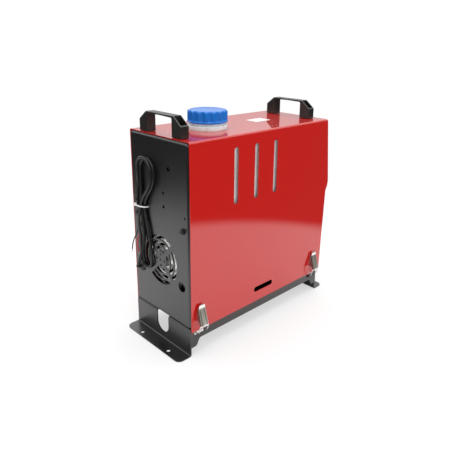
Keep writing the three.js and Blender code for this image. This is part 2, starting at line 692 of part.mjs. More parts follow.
function cableGrommet() {
  const r = CABLE_HOLE.radius;
  const bore = CABLE_DIAMETER / 2 + 0.4;
  const profile = [
    [bore, -3.4], [r - 3, -3.4], [r + 1.6, -1.6], [r + 1.6, -GAP], [r - GAP, -GAP],
    [r - GAP, PANEL_SHEET + GAP], [r + 1.2, PANEL_SHEET + GAP], [r + 0.6, PANEL_SHEET + 2.4],
    [0, PANEL_SHEET + 2.4], [0, 2.2], [bore, 2.2], [bore, -3.4],
  ];
  const ring = new THREE.LatheGeometry(profile.map(([radius, h]) => new THREE.Vector2(radius, h)), 20);
  ring.rotateZ(-Math.PI / 2); // the lathe axis now points to +X, into the heater
  add("cable_grommet", ring, FINISH.rubber()).position.set(PANEL_X, CABLE_HOLE.y, CABLE_HOLE.z);
}

// ---------------------------------------------------------------- burner and blower
const CASING = { half: 59, wall: 2.5, corner: 36, rear: -150, front: 122, spigot: 41, spigotEnd: 146 };
const BLOCK = { x0: -24, x1: 54, halfWidth: 27, bottom: 79 }; // foot of the heat exchanger

function casingShell() {
  const { half, wall, corner, rear, front, spigot, spigotEnd } = CASING;
  const section = (inset) => roundedRect(-half + inset, half - inset, CORE_Z - half + inset,
    CORE_Z + half - inset, corner - inset);
  const tunnel = slab(section(0), "yz", rear, front);
  const outer = join(tunnel, rod("x", spigot, front - 4, spigotEnd, 0, CORE_Z, 32));
  return cut(
    outer,
    slab(section(wall), "yz", rear - 1, front - wall),
    rod("x", spigot - wall, front - 8, spigotEnd + 1, 0, CORE_Z, 32),
  );
}

function casingHalves() {
  const shell = casingShell();
  const port = box(BLOCK.x0 - 1, BLOCK.x1 + 1, -BLOCK.halfWidth - 1, BLOCK.halfWidth + 1, 60, CORE_Z - 20);
  const fuelPort = rod("y", 4, 50, 70, FUEL_PORT.x, FUEL_PORT.z, 12);
  const upper = overlap(shell, box(-200, 200, -100, 100, CORE_Z + 0.15, 300));
  const lower = cut(overlap(shell, box(-200, 200, -100, 100, 0, CORE_Z - 0.15)), port, fuelPort);
  add("upper_casing", upper, FINISH.plastic());
  add("lower_casing", lower, FINISH.plastic());
}

const EXCHANGER = { rear: -44, front: 112, radius: 40, bore: 34, finTip: 52, fins: 20 };
const GLOW = { x: -10, hole: 5.4 };
const FUEL_PORT = { x: -52, z: 132 };

function heatExchanger() {
  const { rear, front, radius, bore, finTip, fins } = EXCHANGER;
  const axis = new THREE.Matrix4().makeTranslation(0, 0, CORE_Z);
  const finList = Array.from({ length: fins }, (_, i) =>
    box(rear + 10, front - 6, -1, 1, radius - 2, finTip)
      .rotateX(((i + 0.5) * 2 * Math.PI) / fins)
      .applyMatrix4(axis),
  );
  const body = join(
    rod("x", radius, rear, front, 0, CORE_Z, 32),
    rod("x", 49, rear, rear + 5, 0, CORE_Z, 32),
    ...finList,
    box(BLOCK.x0, BLOCK.x1, -BLOCK.halfWidth, BLOCK.halfWidth, BLOCK.bottom, CORE_Z - 30),
  );
  const ports = [STUB.exhaustX, STUB.airX].map((x) => rod("z", STUB.inner, 70, CORE_Z - 25, x, 0, 20));
  return cut(
    body,
    rod("x", bore, rear - 1, front - 6, 0, CORE_Z, 32),
    ...ports,
    rod("z", GLOW.hole, CORE_Z + 25, CORE_Z + 60, GLOW.x, 0, 16),
  );
}

function impeller(hubRadius, tipRadius, depth, blades, pitch, thickness) {
  const bladeList = Array.from({ length: blades }, (_, i) =>
    box(-depth / 2 / Math.cos(pitch), depth / 2 / Math.cos(pitch), -thickness / 2, thickness / 2,
      hubRadius - 1.5, tipRadius)
      .rotateZ(pitch)
      .rotateX((i * 2 * Math.PI) / blades),
  );
  const wheel = join(rod("x", hubRadius, -depth / 2, depth / 2, 0, 0, 20), ...bladeList);
  return cut(wheel, rod("x", 3.3, -depth, depth, 0, 0, 12));
}

function blower() {
  const onAxis = new THREE.Group();
  onAxis.position.set(0, 0, CORE_Z);
  heater.add(onAxis);
  const fan = impeller(17, 52, 16, 7, 0.6, 2);
  add("hot_air_impeller", fan, FINISH.plastic(), onAxis).position.x = -134;
  const small = join(impeller(12, 33, 8, 12, 0, 1.6), tube("x", 34, 3.3, -5.4, -3.6, 0, 0, 28));
  add("combustion_impeller", small, FINISH.aluminium(), onAxis).position.x = -56;
  add("rotor_shaft", rod("x", 3, -144, -49, 0, 0, 12), FINISH.brightSteel(), onAxis);
  add("blower_motor", tube("x", 21, 3.6, -120, -70.3, 0, 0), FINISH.steel(), onAxis);
  add("motor_plate", tube("x", 50, 3.6, -70, -65, 0, 0, 32), FINISH.aluminium(), onAxis);
  add("burner_tube", tube("x", 26, 24, -43, 50, 0, 0), FINISH.brightSteel(), onAxis);
}

function intakeGuard() {
  const frontX = CASING.rear - GAP;
  const slots = [];
  for (const [inner, outer] of [[43, 52], [31, 40], [19, 28]]) {
    for (let third = 0; third < 3; third++) {
      const slot = arcSlot(inner, outer, (third * 2 * Math.PI) / 3 + 0.35, Math.PI / 3 - 0.16, 0, CORE_Z);
      slots.push(slab(slot, "yz", frontX - 3, frontX + 1, 0, 4));
    }
  }
  return cut(rod("x", 57, frontX - 1.5, frontX, 0, CORE_Z, 32), ...slots);
}

function coreFittings() {
  const standTop = BLOCK.bottom - GAP;
  const standX = [BLOCK.x0 - 6, BLOCK.x1 + 6];
  const stand = cut(
    box(...standX, -34, 34, BASE.deck + GAP, standTop),
    box(standX[0] - 1, standX[1] + 1, -32, 32, BASE.deck - 1, standTop - PLATE),
    ...[STUB.exhaustX, STUB.airX].map((x) => rod("z", STUB.outer + 1, 60, 90, x, 0, 20)),
  );
  add("core_stand", stand, FINISH.steel());
  const stub = (x) => tube("z", STUB.outer, STUB.inner, STUB.bottom, standTop, x, 0, 20);
  add("exhaust_stub", stub(STUB.exhaustX), FINISH.steel());
  add("air_stub", stub(STUB.airX), FINISH.plastic());
  const plug = join(rod("z", 3.6, 183, 203, GLOW.x, 0, 12), rod("z", 5, 192.5, 198, GLOW.x, 0, 6));
  add("glow_plug", plug, FINISH.brightSteel());
  add("control_module", slab(roundedRect(-118, -76, -25, 25, 4), "xy", 176, 203, 0, 3), FINISH.plastic());
}

// ---------------------------------------------------------------- hot-air outlet
function louvre() {
  const rim = tube("x", 39.9, 37, -9, 0.5, 0, 0, 36);
  const disc = rod("x", 38, -12, 6, 0, 0, 36);
  const slats = [-22, 0, 22].map((z) =>
    overlap(box(-6, 6, -40, 40, -0.8, 0.8).rotateY(0.55).translate(-4.5, 0, z), disc),
  );
  const hub = rod("x", 7, -9, 2.2, 0, 0, 16);
  return join(rim, ...slats, hub);
}

function hotAirOutlet() {
  const duct = tube("x", DUCT.outer, DUCT.inner, DUCT.from, DUCT.to, 0, CORE_Z, 32);
  add("outlet_duct", duct, FINISH.aluminium());
  const flange = new THREE.LatheGeometry(
    [[OUTLET.bore, -11], [OUTLET.spigot, -11], [OUTLET.spigot, GAP], [OUTLET.flange, GAP],
      [OUTLET.flange, 2.2], [OUTLET.flange - 2, 3.6], [OUTLET.bore, 3.6], [OUTLET.bore, -11]]
      .map(([r, h]) => new THREE.Vector2(r, h)),
    36,
  ).rotateZ(-Math.PI / 2);
  add("outlet_ring", flange, FINISH.plastic(), outletFrame);
  add("outlet_louvre", louvre(), FINISH.plastic(), outletFrame);
}

// ---------------------------------------------------------------- fuel pump and its lines
const FILTER = { x: 118, y: -30, bottom: 250, top: 286, radius: 9 };
const PUMP = { x: 138, y: 22, bottom: 246, top: 308, radius: 14 };
const FUEL_DROP = { x: 152, y: 58 };

function fuelSystem() {
  const filter = join(
    rod("z", FILTER.radius, FILTER.bottom, FILTER.top, FILTER.x, FILTER.y, 14),
    rod("z", 3, FILTER.bottom - 8, FILTER.top + 8, FILTER.x, FILTER.y, 10),
  );
  add("fuel_filter", filter, FINISH.amber());
  const pump = join(
    rod("z", PUMP.radius, PUMP.bottom, PUMP.top, PUMP.x, PUMP.y, 20),
    rod("z", 4, PUMP.bottom - 8, PUMP.top + 10, PUMP.x, PUMP.y, 10),
  );
  add("fuel_pump", pump, FINISH.steel());
  const trayTop = TRAY_Z + PANEL_SHEET + GAP;
  const bracket = cut(
    join(
      rod("z", PUMP.radius + 3, 262, 276, PUMP.x, PUMP.y, 20),
      box(PUMP.x - 8, PUMP.x + 8, PUMP.y + PUMP.radius, PUMP.y + PUMP.radius + 3, trayTop, 276),
      box(PUMP.x - 8, PUMP.x + 8, PUMP.y + PUMP.radius, PUMP.y + PUMP.radius + 14, trayTop, trayTop + 2),
    ),
    rod("z", PUMP.radius + GAP, 250, 290, PUMP.x, PUMP.y, 20),
  );
  add("pump_bracket", bracket, FINISH.rubber());
  const filterIn = [FILTER.x, FILTER.y, FILTER.bottom - 8 - GAP];
  const filterOut = [FILTER.x, FILTER.y, FILTER.top + 8 + GAP];
  const pumpIn = [PUMP.x, PUMP.y, PUMP.bottom - 8 - GAP];
  const tankEnd = [TANK.front + 8 + GAP, TANK_OUTLET.y, TANK_OUTLET.z];
  add("tank_hose", hose([tankEnd, [111, -30, 228], [116.4, -30, 230.8], [118, -30, 236], filterIn], 6, 10, 8),
    FINISH.rubber());
  const pumpHose = [filterOut, [118, -30, 300], [120.5, -24, 308], [126, -12, 306], [130, -5, 290],
    [133, 1, 258], [135, 8, 236], [137, 16, 226], [138, 21.5, 228.6], [138, 22, 233], pumpIn];
  add("pump_hose", hose(pumpHose, 6, 26, 8), FINISH.rubber());
  add("fuel_line", hose([[PUMP.x, PUMP.y, PUMP.top + 10 + GAP], [PUMP.x, PUMP.y, 324], [141, 29, 333],
    [148, 42, 324], [151.6, 53, 305], [152, 58, 280], [152, 58, 240], [FUEL_DROP.x, FUEL_DROP.y, 210],
    [148, 62, 192], [132, 65, 172], [100, 66, 156], [40, 66, 146], [-20, 66, 138], [-42, 65.5, 133.5],
    [-50, 64, 132], [FUEL_PORT.x, 60.5, FUEL_PORT.z]], 5, 44, 8), FINISH.plastic());
}

// ---------------------------------------------------------------- display and its buttons
const BUTTONS = { button_power: -33, button_up: -11, button_down: 11, button_ok: 33 };
const BUTTON = { radius: 4.5, z: -16, proud: 5.6 };

function display() {
  const { halfWidth, halfHeight } = DISPLAY;
  const bezel = slab(roundedRect(-52, 52, -32, 32, 6), "yz", GAP, 4.3, 0, 4);
  const body = box(-16, 1, -halfWidth, halfWidth, -halfHeight, halfHeight);
  const holes = Object.values(BUTTONS).map((y) => rod("x", BUTTON.radius + 0.4, -1, 6, y, BUTTON.z, 16));
  const housing = cut(
    join(bezel, body),
    box(-17, 0.8, -halfWidth + 2, halfWidth - 2, -halfHeight + 2, halfHeight - 2),
    box(2.2, 5, -32, 32, -3, 25),
    ...holes,
  );
  add("display_housing", housing, FINISH.plastic(), displayFrame);
  add("display_window", box(2.5, 3.7, -31.6, 31.6, -2.6, 24.6), FINISH.glass(), displayFrame);
  add("control_board", box(-9.6, -8, -42, 42, -23, 23), FINISH.green(), displayFrame);
  for (const [name, y] of Object.entries(BUTTONS)) {
    const key = join(
      rod("x", BUTTON.radius, -6.6, BUTTON.proud - 0.5, y, BUTTON.z, 16),
      rod("x", BUTTON.radius - 0.6, 0, BUTTON.proud, y, BUTTON.z, 16),
    );
    add(name, key, FINISH.rubber(), displayFrame);
  }
}

// ---------------------------------------------------------------- the assembly
add("base_frame", baseFrame(), FINISH.black());
add("rear_panel", rearPanel(), FINISH.black());
panelBolt("panel_bolt_left", 1);
panelBolt("panel_bolt_right", -1);
add("front_panel", frontPanel(), FINISH.black());
add("tank_tray", tankTray(), FINISH.black());
add("cover", cover(), FINISH.red());
handle("rear_handle", HANDLE_X.rear);
handle("front_handle", HANDLE_X.front);
add("fuel_tank", fuelTank(), FINISH.tank());
fillerCap();
latch(1, -LATCH_X, -1);
latch(2, LATCH_X, -1);
latch(3, -LATCH_X, 1);
latch(4, LATCH_X, 1);
powerCable();
conductor("red_wire", FINISH.redWire());
conductor("black_wire", FINISH.rubber());
add("cable_tie", cableTie(), FINISH.whiteNylon());
cableGrommet();
casingHalves();
add("heat_exchanger", heatExchanger(), FINISH.aluminium());
blower();
add("intake_guard", intakeGuard(), FINISH.brightSteel());
coreFittings();
hotAirOutlet();
fuelSystem();
display();

export default heater;
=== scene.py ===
import math

import bmesh
import bpy
import numpy as np
from mathutils import Matrix


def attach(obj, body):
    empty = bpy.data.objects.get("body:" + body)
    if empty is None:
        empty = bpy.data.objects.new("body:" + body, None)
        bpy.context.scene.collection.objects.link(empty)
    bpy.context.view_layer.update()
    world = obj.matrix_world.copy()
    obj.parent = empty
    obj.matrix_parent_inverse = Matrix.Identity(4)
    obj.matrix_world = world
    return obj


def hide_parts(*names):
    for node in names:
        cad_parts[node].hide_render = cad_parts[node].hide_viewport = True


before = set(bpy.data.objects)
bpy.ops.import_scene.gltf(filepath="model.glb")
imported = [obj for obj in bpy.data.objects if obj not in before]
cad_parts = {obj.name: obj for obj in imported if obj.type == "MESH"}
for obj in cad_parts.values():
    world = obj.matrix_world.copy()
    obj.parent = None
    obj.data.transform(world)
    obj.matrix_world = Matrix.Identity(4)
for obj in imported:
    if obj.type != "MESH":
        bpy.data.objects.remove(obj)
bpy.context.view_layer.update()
MM = 0.001

# ---------------------------------------------------------------- the studio
# The heater stands on a round white table whose edge fades away. The glossy sheets mirror the table in
# their lower part, and a darker room above it.
FOCAL_LENGTH, SENSOR_WIDTH = 39.03, 36  # in mm
LENS_SHIFT = (-0.0315, -0.0839)  # in picture widths
camera_data = bpy.data.cameras.new("camera")
camera_data.lens = FOCAL_LENGTH
camera_data.sensor_width = SENSOR_WIDTH
camera_data.shift_x, camera_data.shift_y = LENS_SHIFT
camera = bpy.data.objects.new("camera", camera_data)
bpy.context.scene.collection.objects.link(camera)
bpy.context.scene.camera = camera

CAMERA_PLACE = np.array([-606.6, -616.9, 508.2]) * MM
AZIMUTH, ELEVATION, ROLL = np.radians([-45.15, 17.03, 1.0])
back = np.array([
    math.sin(AZIMUTH) * math.cos(ELEVATION),
    -math.cos(AZIMUTH) * math.cos(ELEVATION),
    math.sin(ELEVATION),
])
level_right = np.array([math.cos(AZIMUTH), math.sin(AZIMUTH), 0])
level_up = np.cross(back, level_right)
right = math.cos(ROLL) * level_right + math.sin(ROLL) * level_up
up = np.cross(back, right)
camera_pose = np.eye(4)
camera_pose[:3, :] = np.column_stack([right, up, back, CAMERA_PLACE])
camera.matrix_world = Matrix(camera_pose.tolist())

bpy.context.scene.view_settings.view_transform = "Standard"


def link_nodes(tree, *pairs):
    """Joins pairs of sockets in a node tree."""
    for output, socket in pairs:
        tree.links.new(output, socket)


def add_node(tree, kind, inputs=None, **settings):
    """A shader node. inputs gives the values of its sockets, by name or number, and settings its options."""
    node = tree.nodes.new("ShaderNode" + kind)
    for setting, value in settings.items():
        setattr(node, setting, value)
    for socket, value in (inputs or {}).items():
        node.inputs[socket].default_value = value
    return node


WHITE = (1, 1, 1, 1)
ROOM_DARK = (0.03, 0.03, 0.032, 1)
DARK_BELOW, WHITE_ABOVE = 0.49, 0.65  # 0 is straight down, 1 straight up
ROOM_STRENGTH = 1.35
world = bpy.data.worlds.new("studio")
bpy.context.scene.world = world
world.use_nodes = True
world_tree = world.node_tree
world_tree.nodes.clear()
direction = add_node(world_tree, "TexCoord")
split = add_node(world_tree, "SeparateXYZ")
mirrored_room = add_node(world_tree, "ValToRGB")
dark_end, white_end = mirrored_room.color_ramp.elements
dark_end.position, dark_end.color = DARK_BELOW, ROOM_DARK
white_end.position, white_end.color = WHITE_ABOVE, WHITE
height_to_ramp = add_node(world_tree, "MapRange", {"From Min": -1, "From Max": 1})
paths = add_node(world_tree, "LightPath")
white = add_node(world_tree, "Background", {"Color": WHITE})
soft = add_node(world_tree, "Background", {"Color": WHITE})
room = add_node(world_tree, "Background", {"Strength": ROOM_STRENGTH})
seen = add_node(world_tree, "MixShader")
glossy = add_node(world_tree, "MixShader")
world_output = add_node(world_tree, "OutputWorld")
link_nodes(
    world_tree,
    (direction.outputs["Generated"], split.inputs[0]),
    (split.outputs["Z"], height_to_ramp.inputs["Value"]),
    (height_to_ramp.outputs["Result"], mirrored_room.inputs["Fac"]),
    (mirrored_room.outputs["Color"], room.inputs["Color"]),
    (paths.outputs["Is Glossy Ray"], glossy.inputs["Fac"]),
    (soft.outputs[0], glossy.inputs[1]),
    (room.outputs[0], glossy.inputs[2]),
    (paths.outputs["Is Camera Ray"], seen.inputs["Fac"]),
    (glossy.outputs[0], seen.inputs[1]),
    (white.outputs[0], seen.inputs[2]),
    (seen.outputs[0], world_output.inputs["Surface"]),
)


def lamp(name, place, aim, size, power):
    """A square soft light at a place, turned towards a point."""
    data = bpy.data.lights.new(name, "AREA")
    data.size = size
    data.energy = power
    light = bpy.data.objects.new(name, data)
    bpy.context.scene.collection.objects.link(light)
    away = np.array(place) - np.array(aim)
    light.location = place
    light.rotation_euler = (math.atan2(math.hypot(away[0], away[1]), away[2]), 0,
                            math.atan2(away[0], -away[1]))
    return light


lamp("overhead_softbox", (0.1, -0.1, 1.7), (0, 0, 0.2), 1.2, 9)
lamp("front_softbox", (-0.3, -1.9, 1.0), (0, 0, 0.25), 0.9, 3)
lamp("back_softbox", (0.3, 1.9, 1.0), (0, 0, 0.25), 0.9, 3)


def add_mesh(name, points, faces):
    """A mesh object at the origin with its place in its points."""
    mesh = bpy.data.meshes.new(name)
    mesh.from_pydata(np.asarray(points, float).reshape(-1, 3).tolist(), [], faces)
    mesh.update()
    obj = bpy.data.objects.new(name, mesh)
    bpy.context.scene.collection.objects.link(obj)
    return obj


TABLE_MIDDLE = (-0.034, -0.034)
TABLE_EDGE = (0.518, 0.608)  # where its edge begins and ends to fade
STOOL_MIDDLE = (-0.34, 0.36)  # a smaller white round beside it, which the rear panel mirrors
STOOL_EDGE = (0.26, 0.46)
TABLE_SIDES = 96
CAMERA_GLOW = 0.55  # how much of the paper's white is its own, to the camera only
rim = np.linspace(0, 2 * math.pi, TABLE_SIDES, endpoint=False)
table_points = np.column_stack([-0.1 + np.cos(rim), 0.1 + np.sin(rim), 0 * rim])
table = add_mesh("white_table", table_points, [list(range(TABLE_SIDES))])
paper = bpy.data.materials.new("white_paper")
paper.use_nodes = True
paper_tree = paper.node_tree
paper_shader = paper_tree.nodes["Principled BSDF"]
paper_shader.inputs["Base Color"].default_value = (0.97, 0.97, 0.97, 1)
paper_shader.inputs["Roughness"].default_value = 0.9
paper_shader.inputs["Specular IOR Level"].default_value = 0.0
on_table = add_node(paper_tree, "TexCoord")
from_middle, from_stool = [add_node(paper_tree, "VectorMath", {1: (*middle, 0)}, operation="DISTANCE")
                           for middle in (TABLE_MIDDLE, STOOL_MIDDLE)]
edge_fade, stool_fade = [
    add_node(paper_tree, "MapRange", {"From Min": start, "From Max": end}, interpolation_type="SMOOTHSTEP")
    for start, end in (TABLE_EDGE, STOOL_EDGE)]
outside = add_node(paper_tree, "Math", operation="MINIMUM")
seen_directly = add_node(paper_tree, "LightPath")
half_lit = add_node(paper_tree, "Math", {1: CAMERA_GLOW}, operation="MULTIPLY")
paper_white = add_node(paper_tree, "Emission")
open_air = add_node(paper_tree, "BsdfTransparent")
light_shadow = add_node(paper_tree, "MixShader")
faded = add_node(paper_tree, "MixShader")
link_nodes(
    paper_tree,
    (on_table.outputs["Object"], from_middle.inputs[0]),
    (from_middle.outputs["Value"], edge_fade.inputs["Value"]),
    (seen_directly.outputs["Is Camera Ray"], half_lit.inputs[0]),
    (half_lit.outputs[0], light_shadow.inputs["Fac"]),
    (paper_shader.outputs[0], light_shadow.inputs[1]),
    (paper_white.outputs[0], light_shadow.inputs[2]),
    (on_table.outputs["Object"], from_stool.inputs[0]),
    (from_stool.outputs["Value"], stool_fade.inputs["Value"]),
    (edge_fade.outputs["Result"], outside.inputs[0]),
    (stool_fade.outputs["Result"], outside.inputs[1]),
    (outside.outputs[0], faded.inputs["Fac"]),
    (light_shadow.outputs[0], faded.inputs[1]),
    (open_air.outputs[0], faded.inputs[2]),
    (faded.outputs[0], paper_tree.nodes["Material Output"].inputs["Surface"]),
)
table.data.materials.append(paper)


# ---------------------------------------------------------------- finishes and shapes
# Every finish shares one fine grain. Pieces are skins over rows of points, in mm along the frame's axes.
def grain_group():
    """Shader group: a colour mottled by fine noise, with the same noise as a height for bumps."""
    group = bpy.data.node_groups.new("fine_grain", "ShaderNodeTree")
    ways = {"INPUT": ("Color", "Grain Size", "Mottle", "Roughness", "Roughness Change"),
            "OUTPUT": ("Color", "Roughness", "Height")}
    for way, names in ways.items():
        for name in names:
            kind = "NodeSocketColor" if name == "Color" else "NodeSocketFloat"
            group.interface.new_socket(name, in_out=way, socket_type=kind)
    given = group.nodes.new("NodeGroupInput")
    result = group.nodes.new("NodeGroupOutput")
    place = add_node(group, "TexCoord")
    per_metre = add_node(group, "Math", {0: 1.0}, operation="DIVIDE")
    fine = add_node(group, "TexNoise", {"Detail": 3})
    broad = add_node(group, "TexNoise", {"Scale": 22})
    both = add_node(group, "Math", operation="ADD")
    centred = add_node(group, "Math", {1: 1.0}, operation="SUBTRACT")
    tone = add_node(group, "Math", {2: 1.0}, operation="MULTIPLY_ADD")
    tinted = add_node(group, "VectorMath", operation="SCALE")
    rough = add_node(group, "Math", operation="MULTIPLY_ADD")
    link_nodes(
        group,
        (given.outputs["Grain Size"], per_metre.inputs[1]),
        (place.outputs["Object"], fine.inputs["Vector"]),
        (place.outputs["Object"], broad.inputs["Vector"]),
        (per_metre.outputs[0], fine.inputs["Scale"]),
        (fine.outputs["Fac"], both.inputs[0]),
        (broad.outputs["Fac"], both.inputs[1]),
        (both.outputs[0], centred.inputs[0]),
        (centred.outputs[0], tone.inputs[0]),
        (given.outputs["Mottle"], tone.inputs[1]),
        (given.outputs["Color"], tinted.inputs[0]),
        (tone.outputs[0], tinted.inputs["Scale"]),
        (tinted.outputs[0], result.inputs["Color"]),
        (centred.outputs[0], rough.inputs[0]),
        (given.outputs["Roughness Change"], rough.inputs[1]),
        (given.outputs["Roughness"], rough.inputs[2]),
        (rough.outputs[0], result.inputs["Roughness"]),
        (fine.outputs["Fac"], result.inputs["Height"]),
    )
    return group


FINE_GRAIN = grain_group()


def finish(name, color, roughness, grain=0.6, mottle=0.08, change=0.08, bump=0.15, depth=0.02, **sockets):
    """A material with the fine grain: color is linear, and grain and depth, the bumps' height, are in mm."""
    material = bpy.data.materials.new(name)
    material.use_nodes = True
    tree = material.node_tree
    shader = tree.nodes["Principled BSDF"]
    look = {"Color": (*color, 1), "Grain Size": grain * MM, "Mottle": mottle, "Roughness": roughness,
            "Roughness Change": change}
    grained = add_node(tree, "Group", look, node_tree=FINE_GRAIN)
    bumps = add_node(tree, "Bump", {"Strength": bump, "Distance": depth * MM})
    link_nodes(
        tree,
        (grained.outputs["Color"], shader.inputs["Base Color"]),
        (grained.outputs["Roughness"], shader.inputs["Roughness"]),
        (grained.outputs["Height"], bumps.inputs["Height"]),
        (bumps.outputs["Normal"], shader.inputs["Normal"]),
    )
    for socket, value in sockets.items():
        shader.inputs[socket.replace("_", " ")].default_value = value
    return material


def bake(obj):
    """Applies a piece's modifiers to its mesh."""
    scene_state = bpy.context.evaluated_depsgraph_get()
    mesh = bpy.data.meshes.new_from_object(obj.evaluated_get(scene_state))
    obj.modifiers.clear()
    obj.data = mesh
    return obj


def dress(obj, material, body, slot, *nodes, smooth=35):
    """Gives a finished piece its material and its body, and hides the CAD nodes it stands for; its slot is not
    used.
    """
    obj.data.materials.clear()
    obj.data.materials.append(material)
    obj.data.shade_smooth()
    obj.data.set_sharp_from_angle(angle=math.radians(smooth))
    flats_first = obj.modifiers.new("flats_stay_flat", "WEIGHTED_NORMAL")
    flats_first.keep_sharp = True
    flats_first.weight = 100
    bake(obj)
    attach(obj, body)
    if nodes:
        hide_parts(*nodes)
    return obj


def surface(name, rows, round_rows=True, caps=True, round_columns=False):
    """A skin over a grid of points, rows x columns x 3: a face between each four neighbours. Rows may close
    on themselves, columns too, and caps fill the first and the last row."""
    count, width = rows.shape[:2]
    index = np.arange(count * width).reshape(count, width)
    if round_rows:
        index = np.hstack([index, index[:, :1]])
    if round_columns:
        index = np.vstack([index, index[:1]])
    quads = np.stack([index[:-1, :-1], index[:-1, 1:], index[1:, 1:], index[1:, :-1]], axis=-1).reshape(-1, 4)
    faces = quads.tolist()
    if caps and not round_columns:
        faces += [index[0, :width][::-1].tolist(), index[count - 1, :width].tolist()]
    obj = add_mesh(name, rows, faces)
    face_outwards(obj)
    return obj


def face_outwards(obj, near=1e-7):
    """Merges doubled points, drops edges left without a face, and turns every face over where the shell's
    signed volume is negative."""
    shell = bmesh.new()
    shell.from_mesh(obj.data)
    bmesh.ops.remove_doubles(shell, verts=shell.verts, dist=near)
    bmesh.ops.delete(shell, geom=[edge for edge in shell.edges if not edge.link_faces], context="EDGES")
    if shell.calc_volume(signed=True) < 0:
        bmesh.ops.reverse_faces(shell, faces=shell.faces)
    shell.to_mesh(obj.data)
    shell.free()
    obj.data.update()


def smooth_route(points, count):
    """Centripetal Catmull-Rom curve through the points, respaced evenly. Each span is a cubic whose end
    tangents weigh the neighbouring spans by the square roots of their lengths."""
    p = np.asarray(points, float)
    p = np.vstack([2 * p[0] - p[1], p, 2 * p[-1] - p[-2]])
    gap = np.linalg.norm(np.diff(p, axis=0), axis=1)[:, None] ** 0.5
    a, b, c = gap[:-2], gap[1:-1], gap[2:]
    p0, p1, p2, p3 = p[:-3], p[1:-2], p[2:-1], p[3:]
    m1 = ((p1 - p0) / a - (p2 - p0) / (a + b) + (p2 - p1) / b) * b
    m2 = ((p2 - p1) / b - (p3 - p1) / (b + c) + (p3 - p2) / c) * b
    t = np.linspace(0, 1, 32, endpoint=False)[None, :, None]
    span = (2 * t**3 - 3 * t**2 + 1) * p1[:, None] + (t**3 - 2 * t**2 + t) * m1[:, None]
    span = span + (3 * t**2 - 2 * t**3) * p2[:, None] + (t**3 - t**2) * m2[:, None]
    dense = np.vstack([span.reshape(-1, 3), p2[-1]])
    run = np.concatenate([[0], np.cumsum(np.linalg.norm(np.diff(dense, axis=0), axis=1))])
    even = np.linspace(0, run[-1], count)
    return np.column_stack([np.interp(even, run, dense[:, k]) for k in range(3)]), run[-1]


def turned_frames(path):
    """Unit vectors along a path and two across it, carried forward so that the section never twists."""
    along = np.gradient(path, axis=0)
    along /= np.linalg.norm(along, axis=1)[:, None]
    across = np.empty_like(along)
    start = np.eye(3)[np.argmin(np.abs(along[0]))]
    across[0] = start - along[0] * (start @ along[0])
    for i in range(1, len(path)):
        across[i] = across[i - 1] - along[i] * (across[i - 1] @ along[i])
    across /= np.linalg.norm(across, axis=1)[:, None]
    return along, across, np.cross(along, across)


def round_tube(name, path, radius, sides=16):
    """A ring of points round each point of the path. radius is one number, or one for each point."""
    _, side, rise = turned_frames(path)
    turn = np.linspace(0, 2 * math.pi, sides, endpoint=False)
    size = np.broadcast_to(radius, len(path))[:, None, None]
    ring = np.cos(turn)[None, :, None] * side[:, None] + np.sin(turn)[None, :, None] * rise[:, None]
    return surface(name, path[:, None] + size * ring)


def corner_arcs(corners, steps=6):
    """An outline through corners (x, y, radius): each becomes an arc that meets both of its edges."""
    c = np.array([corner[:2] for corner in corners], float)
    r = np.array([corner[2] for corner in corners], float)
    before = np.roll(c, 1, axis=0) - c
    after = np.roll(c, -1, axis=0) - c
    before /= np.linalg.norm(before, axis=1)[:, None]
    after /= np.linalg.norm(after, axis=1)[:, None]
    half = np.arccos(np.clip((before * after).sum(axis=1), -1, 1)) / 2
    bisector = before + after
    bisector /= np.linalg.norm(bisector, axis=1)[:, None]
    centre = c + bisector * (r / np.sin(half))[:, None]
    start = c + before * (r / np.tan(half))[:, None] - centre
    end = c + after * (r / np.tan(half))[:, None] - centre
    first = np.arctan2(start[:, 1], start[:, 0])
    sweep = (np.arctan2(end[:, 1], end[:, 0]) - first + math.pi) % (2 * math.pi) - math.pi
    turn = first[:, None] + sweep[:, None] * np.linspace(0, 1, steps)[None]
    points = centre[:, None] + r[:, None, None] * np.stack([np.cos(turn), np.sin(turn)], axis=-1)
    return points.reshape(-1, 2)


def inset(outline, distance):
    """The outline moved inwards by a distance: each point goes along the mitre of its two edges."""
    area = np.sum(outline[:, 0] * np.roll(outline[:, 1], -1) - np.roll(outline[:, 0], -1) * outline[:, 1])
    before = outline - np.roll(outline, 1, axis=0)
    after = np.roll(outline, -1, axis=0) - outline
    normals = [np.column_stack([-e[:, 1], e[:, 0]]) / np.linalg.norm(e, axis=1)[:, None]
               for e in (before, after)]
    mitre = (normals[0] + normals[1]) / (1 + (normals[0] * normals[1]).sum(axis=1))[:, None]
    return outline + math.copysign(distance, distance * area) * mitre


AXES = {"xy": (0, 1, 2), "xz": (0, 2, 1), "yz": (1, 2, 0)}


def block(name, outline, plane, low, high, edge=0, steps=4):
    """An outline in mm, carried from low to high across its plane, with its two rims rounded: near each
    end the outline draws in along a quarter circle of radius edge."""
    turn = np.linspace(0, math.pi / 2, steps) if edge else np.array([math.pi / 2])
    draw_in = edge * (1 - np.sin(turn))
    rise = edge * (1 - np.cos(turn))
    loops = [inset(outline, d) for d in draw_in]
    heights = np.concatenate([low + rise, (high - rise)[::-1]])
    loops = np.array(loops + loops[::-1])
    points = np.empty((len(heights), len(outline), 3))
    first, second, third = AXES[plane]
    points[..., first] = loops[..., 0]
    points[..., second] = loops[..., 1]
    points[..., third] = heights[:, None]
    return surface(name, points * MM)


def rectangle(low, high, corner, steps=6):
    """The outline of a rounded rectangle between its lowest and its highest point."""
    (x0, y0), (x1, y1) = low, high
    return corner_arcs([(x0, y0, corner), (x1, y0, corner), (x1, y1, corner), (x0, y1, corner)], steps)


